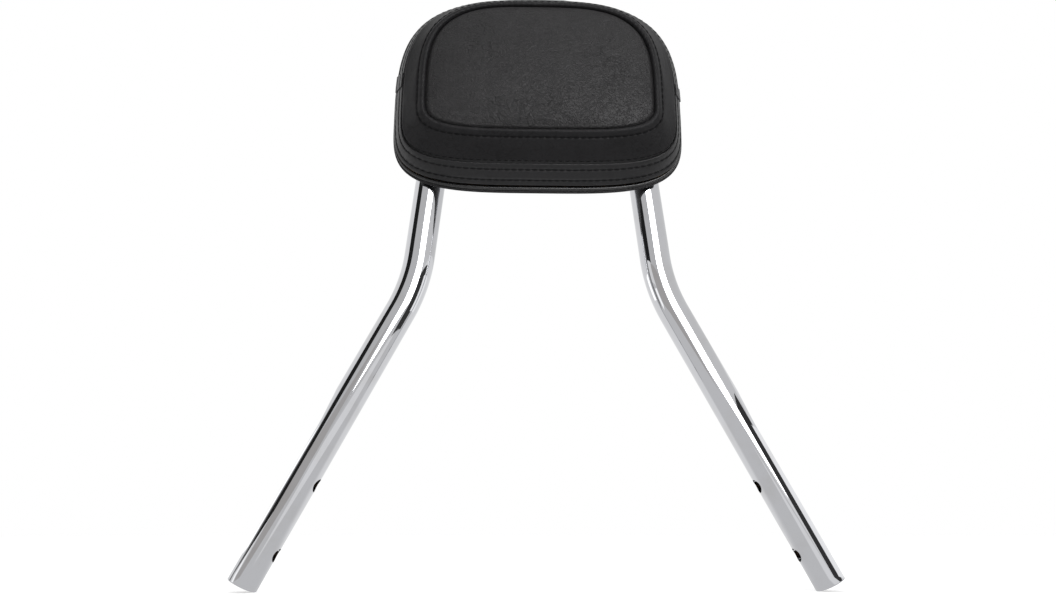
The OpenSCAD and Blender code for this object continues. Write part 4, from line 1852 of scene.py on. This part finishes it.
CLEAR = 0.05
CARDS = (
    Wall("front_wall", (-3.11, -2.61), (0.4, -2.80), 0.0, 3.7, 0.69),
    Wall("right_wall", (2.09, -2.75), (0.284, 0.838), 0.41, 3.7, 0.815),
    Wall("window", (-0.026, -0.85), (0.531, -0.69), 0.142, 0.74, 7.0),
    Wall("left_flag", (-1.962, -1.728), (-2.746, -0.234), 0.70, 2.3, 0.02),
    Wall("low_white", (-0.898, -0.575), (-0.63, -0.223), 0.0, 0.177, 1.5),
    Wall("low_dark", (-0.917, -0.214), (-0.618, -0.022), 0.008, 0.464, 0.26),
    Wall("right_flag", (0.529, -0.604), (0.487, -0.066), 0.0, 0.329, 0.05),
    Wall("warm_board", (-0.877, -0.644), (-0.188, -1.022), 0.008, 0.438, 0.54, (1.0, 0.97, 0.95)),
    Wall("right_glow", (0.464, -0.132), (0.483, 0.247), 0.053, 0.268, 1.25),
    Wall("left_glow", (-0.465, 0.018), (-0.549, 0.33), 0.119, 0.281, 1.8),
    Wall("left_shade", (-1.3, -0.6), (-1.2, 1.0), 1.35, 3.2, 0.1),
    Wall("right_shade", (1.3, -0.2), (1.2, 1.0), 1.35, 3.2, 0.3),
    Wall("floor_streak", (0.043, -1.155), (0.881, -0.615), -0.345, -0.008, 1 + 0.24 / CLEAR),
)


class Studio:
    """Camera, floor, cards and lamps."""

    def camera(self) -> None:
        """Place the camera at the photograph's viewpoint."""
        data = bpy.data.cameras.new("studio_camera")
        data.lens, data.sensor_width = 28.295, 36
        data.clip_start, data.clip_end = 0.01, 60
        eye = bpy.data.objects.new("studio_camera", data)
        eye.location = (-0.02659, -0.63217, 0.04361)
        eye.rotation_euler = (math.radians(105.6), 0, -math.radians(1.594))
        bpy.context.scene.collection.objects.link(eye)
        bpy.context.scene.camera = eye

    def floor(self) -> None:
        """Lay a pale floor that looks as white as the backdrop and still takes the shadow."""
        floor = Bench.start(
            bpy.ops.mesh.primitive_circle_add, "studio_floor", vertices=96, radius=9, fill_type="NGON"
        )
        tree = ShaderTree("studio_paper")
        paper = tree.noise(60, 3)
        white = tree.blend(paper, (0.78, 0.78, 0.78), (0.80, 0.80, 0.80))
        tree.dress(Base_Color=white, Roughness=0.9, Specular_IOR_Level=0.1)
        path = tree.node("ShaderNodeLightPath")
        glow = tree.node("ShaderNodeEmission", None, {"Color": (1.0, 1.0, 1.0), "Strength": 0.56})
        both = tree.node("ShaderNodeAddShader", None, {0: tree.shader.outputs[0], 1: glow.outputs[0]})
        apart = tree.node("ShaderNodeSeparateXYZ", None, {0: tree.place})
        behind = Field(tree, apart.outputs["Y"]).between(0.02, 0.12)
        level = tree.blend(behind, (0.71, 0.71, 0.715), (0.95, 0.95, 0.95))
        lit = tree.node("ShaderNodeEmission", None, {"Color": level, "Strength": 1.0})
        clear = tree.node("ShaderNodeBsdfTransparent", None, {"Color": (CLEAR,) * 3})
        mirrored = tree.node("ShaderNodeAddShader", None, {0: lit.outputs[0], 1: clear.outputs[0]})
        inputs = {0: path.outputs["Is Glossy Ray"], 1: tree.shader.outputs[0], 2: mirrored.outputs[0]}
        shine = tree.node("ShaderNodeMixShader", None, inputs)
        inputs = {0: path.outputs["Is Camera Ray"], 1: shine.outputs[0], 2: both.outputs[0]}
        mixed = tree.node("ShaderNodeMixShader", None, inputs)
        tree.wire(tree.out.inputs["Surface"], mixed.outputs[0])
        floor.data.materials.append(tree.material)

    def world(self) -> None:
        """Give a white backdrop to the camera and to reflections, and a soft grey light."""
        world = bpy.data.worlds.new("studio_world")
        bpy.context.scene.world = world
        world.use_nodes = True
        tree = NodeTree(world.node_tree)
        path = tree.node("ShaderNodeLightPath")
        rays = {0: path.outputs["Is Camera Ray"], 1: path.outputs["Is Glossy Ray"]}
        either = tree.node("ShaderNodeMath", {"operation": "MAXIMUM"}, rays)
        grey, white = [
            tree.node("ShaderNodeBackground", None, {"Color": (1.0, 1.0, 1.0), "Strength": level})
            for level in (0.55, 1.0)
        ]
        inputs = {0: either.outputs[0], 1: grey.outputs[0], 2: white.outputs[0]}
        mix = tree.node("ShaderNodeMixShader", None, inputs)
        tree.node("ShaderNodeOutputWorld", None, {"Surface": mix.outputs[0]})

    def lamp(self, name: str, place: Sequence[float], size: float, power: float) -> None:
        """Hang a soft square lamp aimed at the pad.

        Args:
            name: The lamp's name.
            place: Where it hangs.
            size: Length of its side.
            power: Its power in watts.
        """
        data = bpy.data.lights.new(name, "AREA")
        data.size, data.energy = size, power
        lamp = bpy.data.objects.new(name, data)
        lamp.visible_glossy = False
        lamp.location = place
        lamp.rotation_euler = (Vector((0, 0, 0.35)) - Vector(place)).to_track_quat("-Z", "Y").to_euler()
        bpy.context.scene.collection.objects.link(lamp)

    def build(self) -> None:
        """Set the studio up."""
        self.camera()
        self.floor()
        self.world()
        for card in CARDS:
            card.build()
        self.lamp("key_lamp", (0.5, -1.7, 1.0), 0.9, 10)
        self.lamp("fill_lamp", (-0.4, -0.9, 1.9), 1.2, 4)
        bpy.context.scene.view_settings.view_transform = "Standard"


def main() -> None:
    """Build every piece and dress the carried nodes."""
    logging.basicConfig(level=logging.INFO, format="%(message)s")
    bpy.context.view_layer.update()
    Studio().build()
    hoop = Hoop()
    hoop.build()
    for row, z in STRAP_ROWS:
        CrossStrap(hoop, row, z).build()
    PadScrew().build()
    cushion = Cushion()
    cushion.build()
    cushion.sew()
    trim = RimTrim()
    trim.welt()
    trim.back_cover()
    carried = {"base_board": (Finish.PLYWOOD, "plywood"), "foam_core": (Finish.FOAM, "foam")}
    for row, _ in STRAP_ROWS:
        for _, side in SIDES:
            carried[f"tee_nut_{row}_{side}"] = (Finish.ZINC, "zinc_steel")
    for name, (finish, slot) in carried.items():
        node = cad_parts[name]
        node.data.materials.clear()
        node.data.materials.append(finish.material())
        LOG.info("%s: dressed", name)


if __name__ == "__main__":
    main()
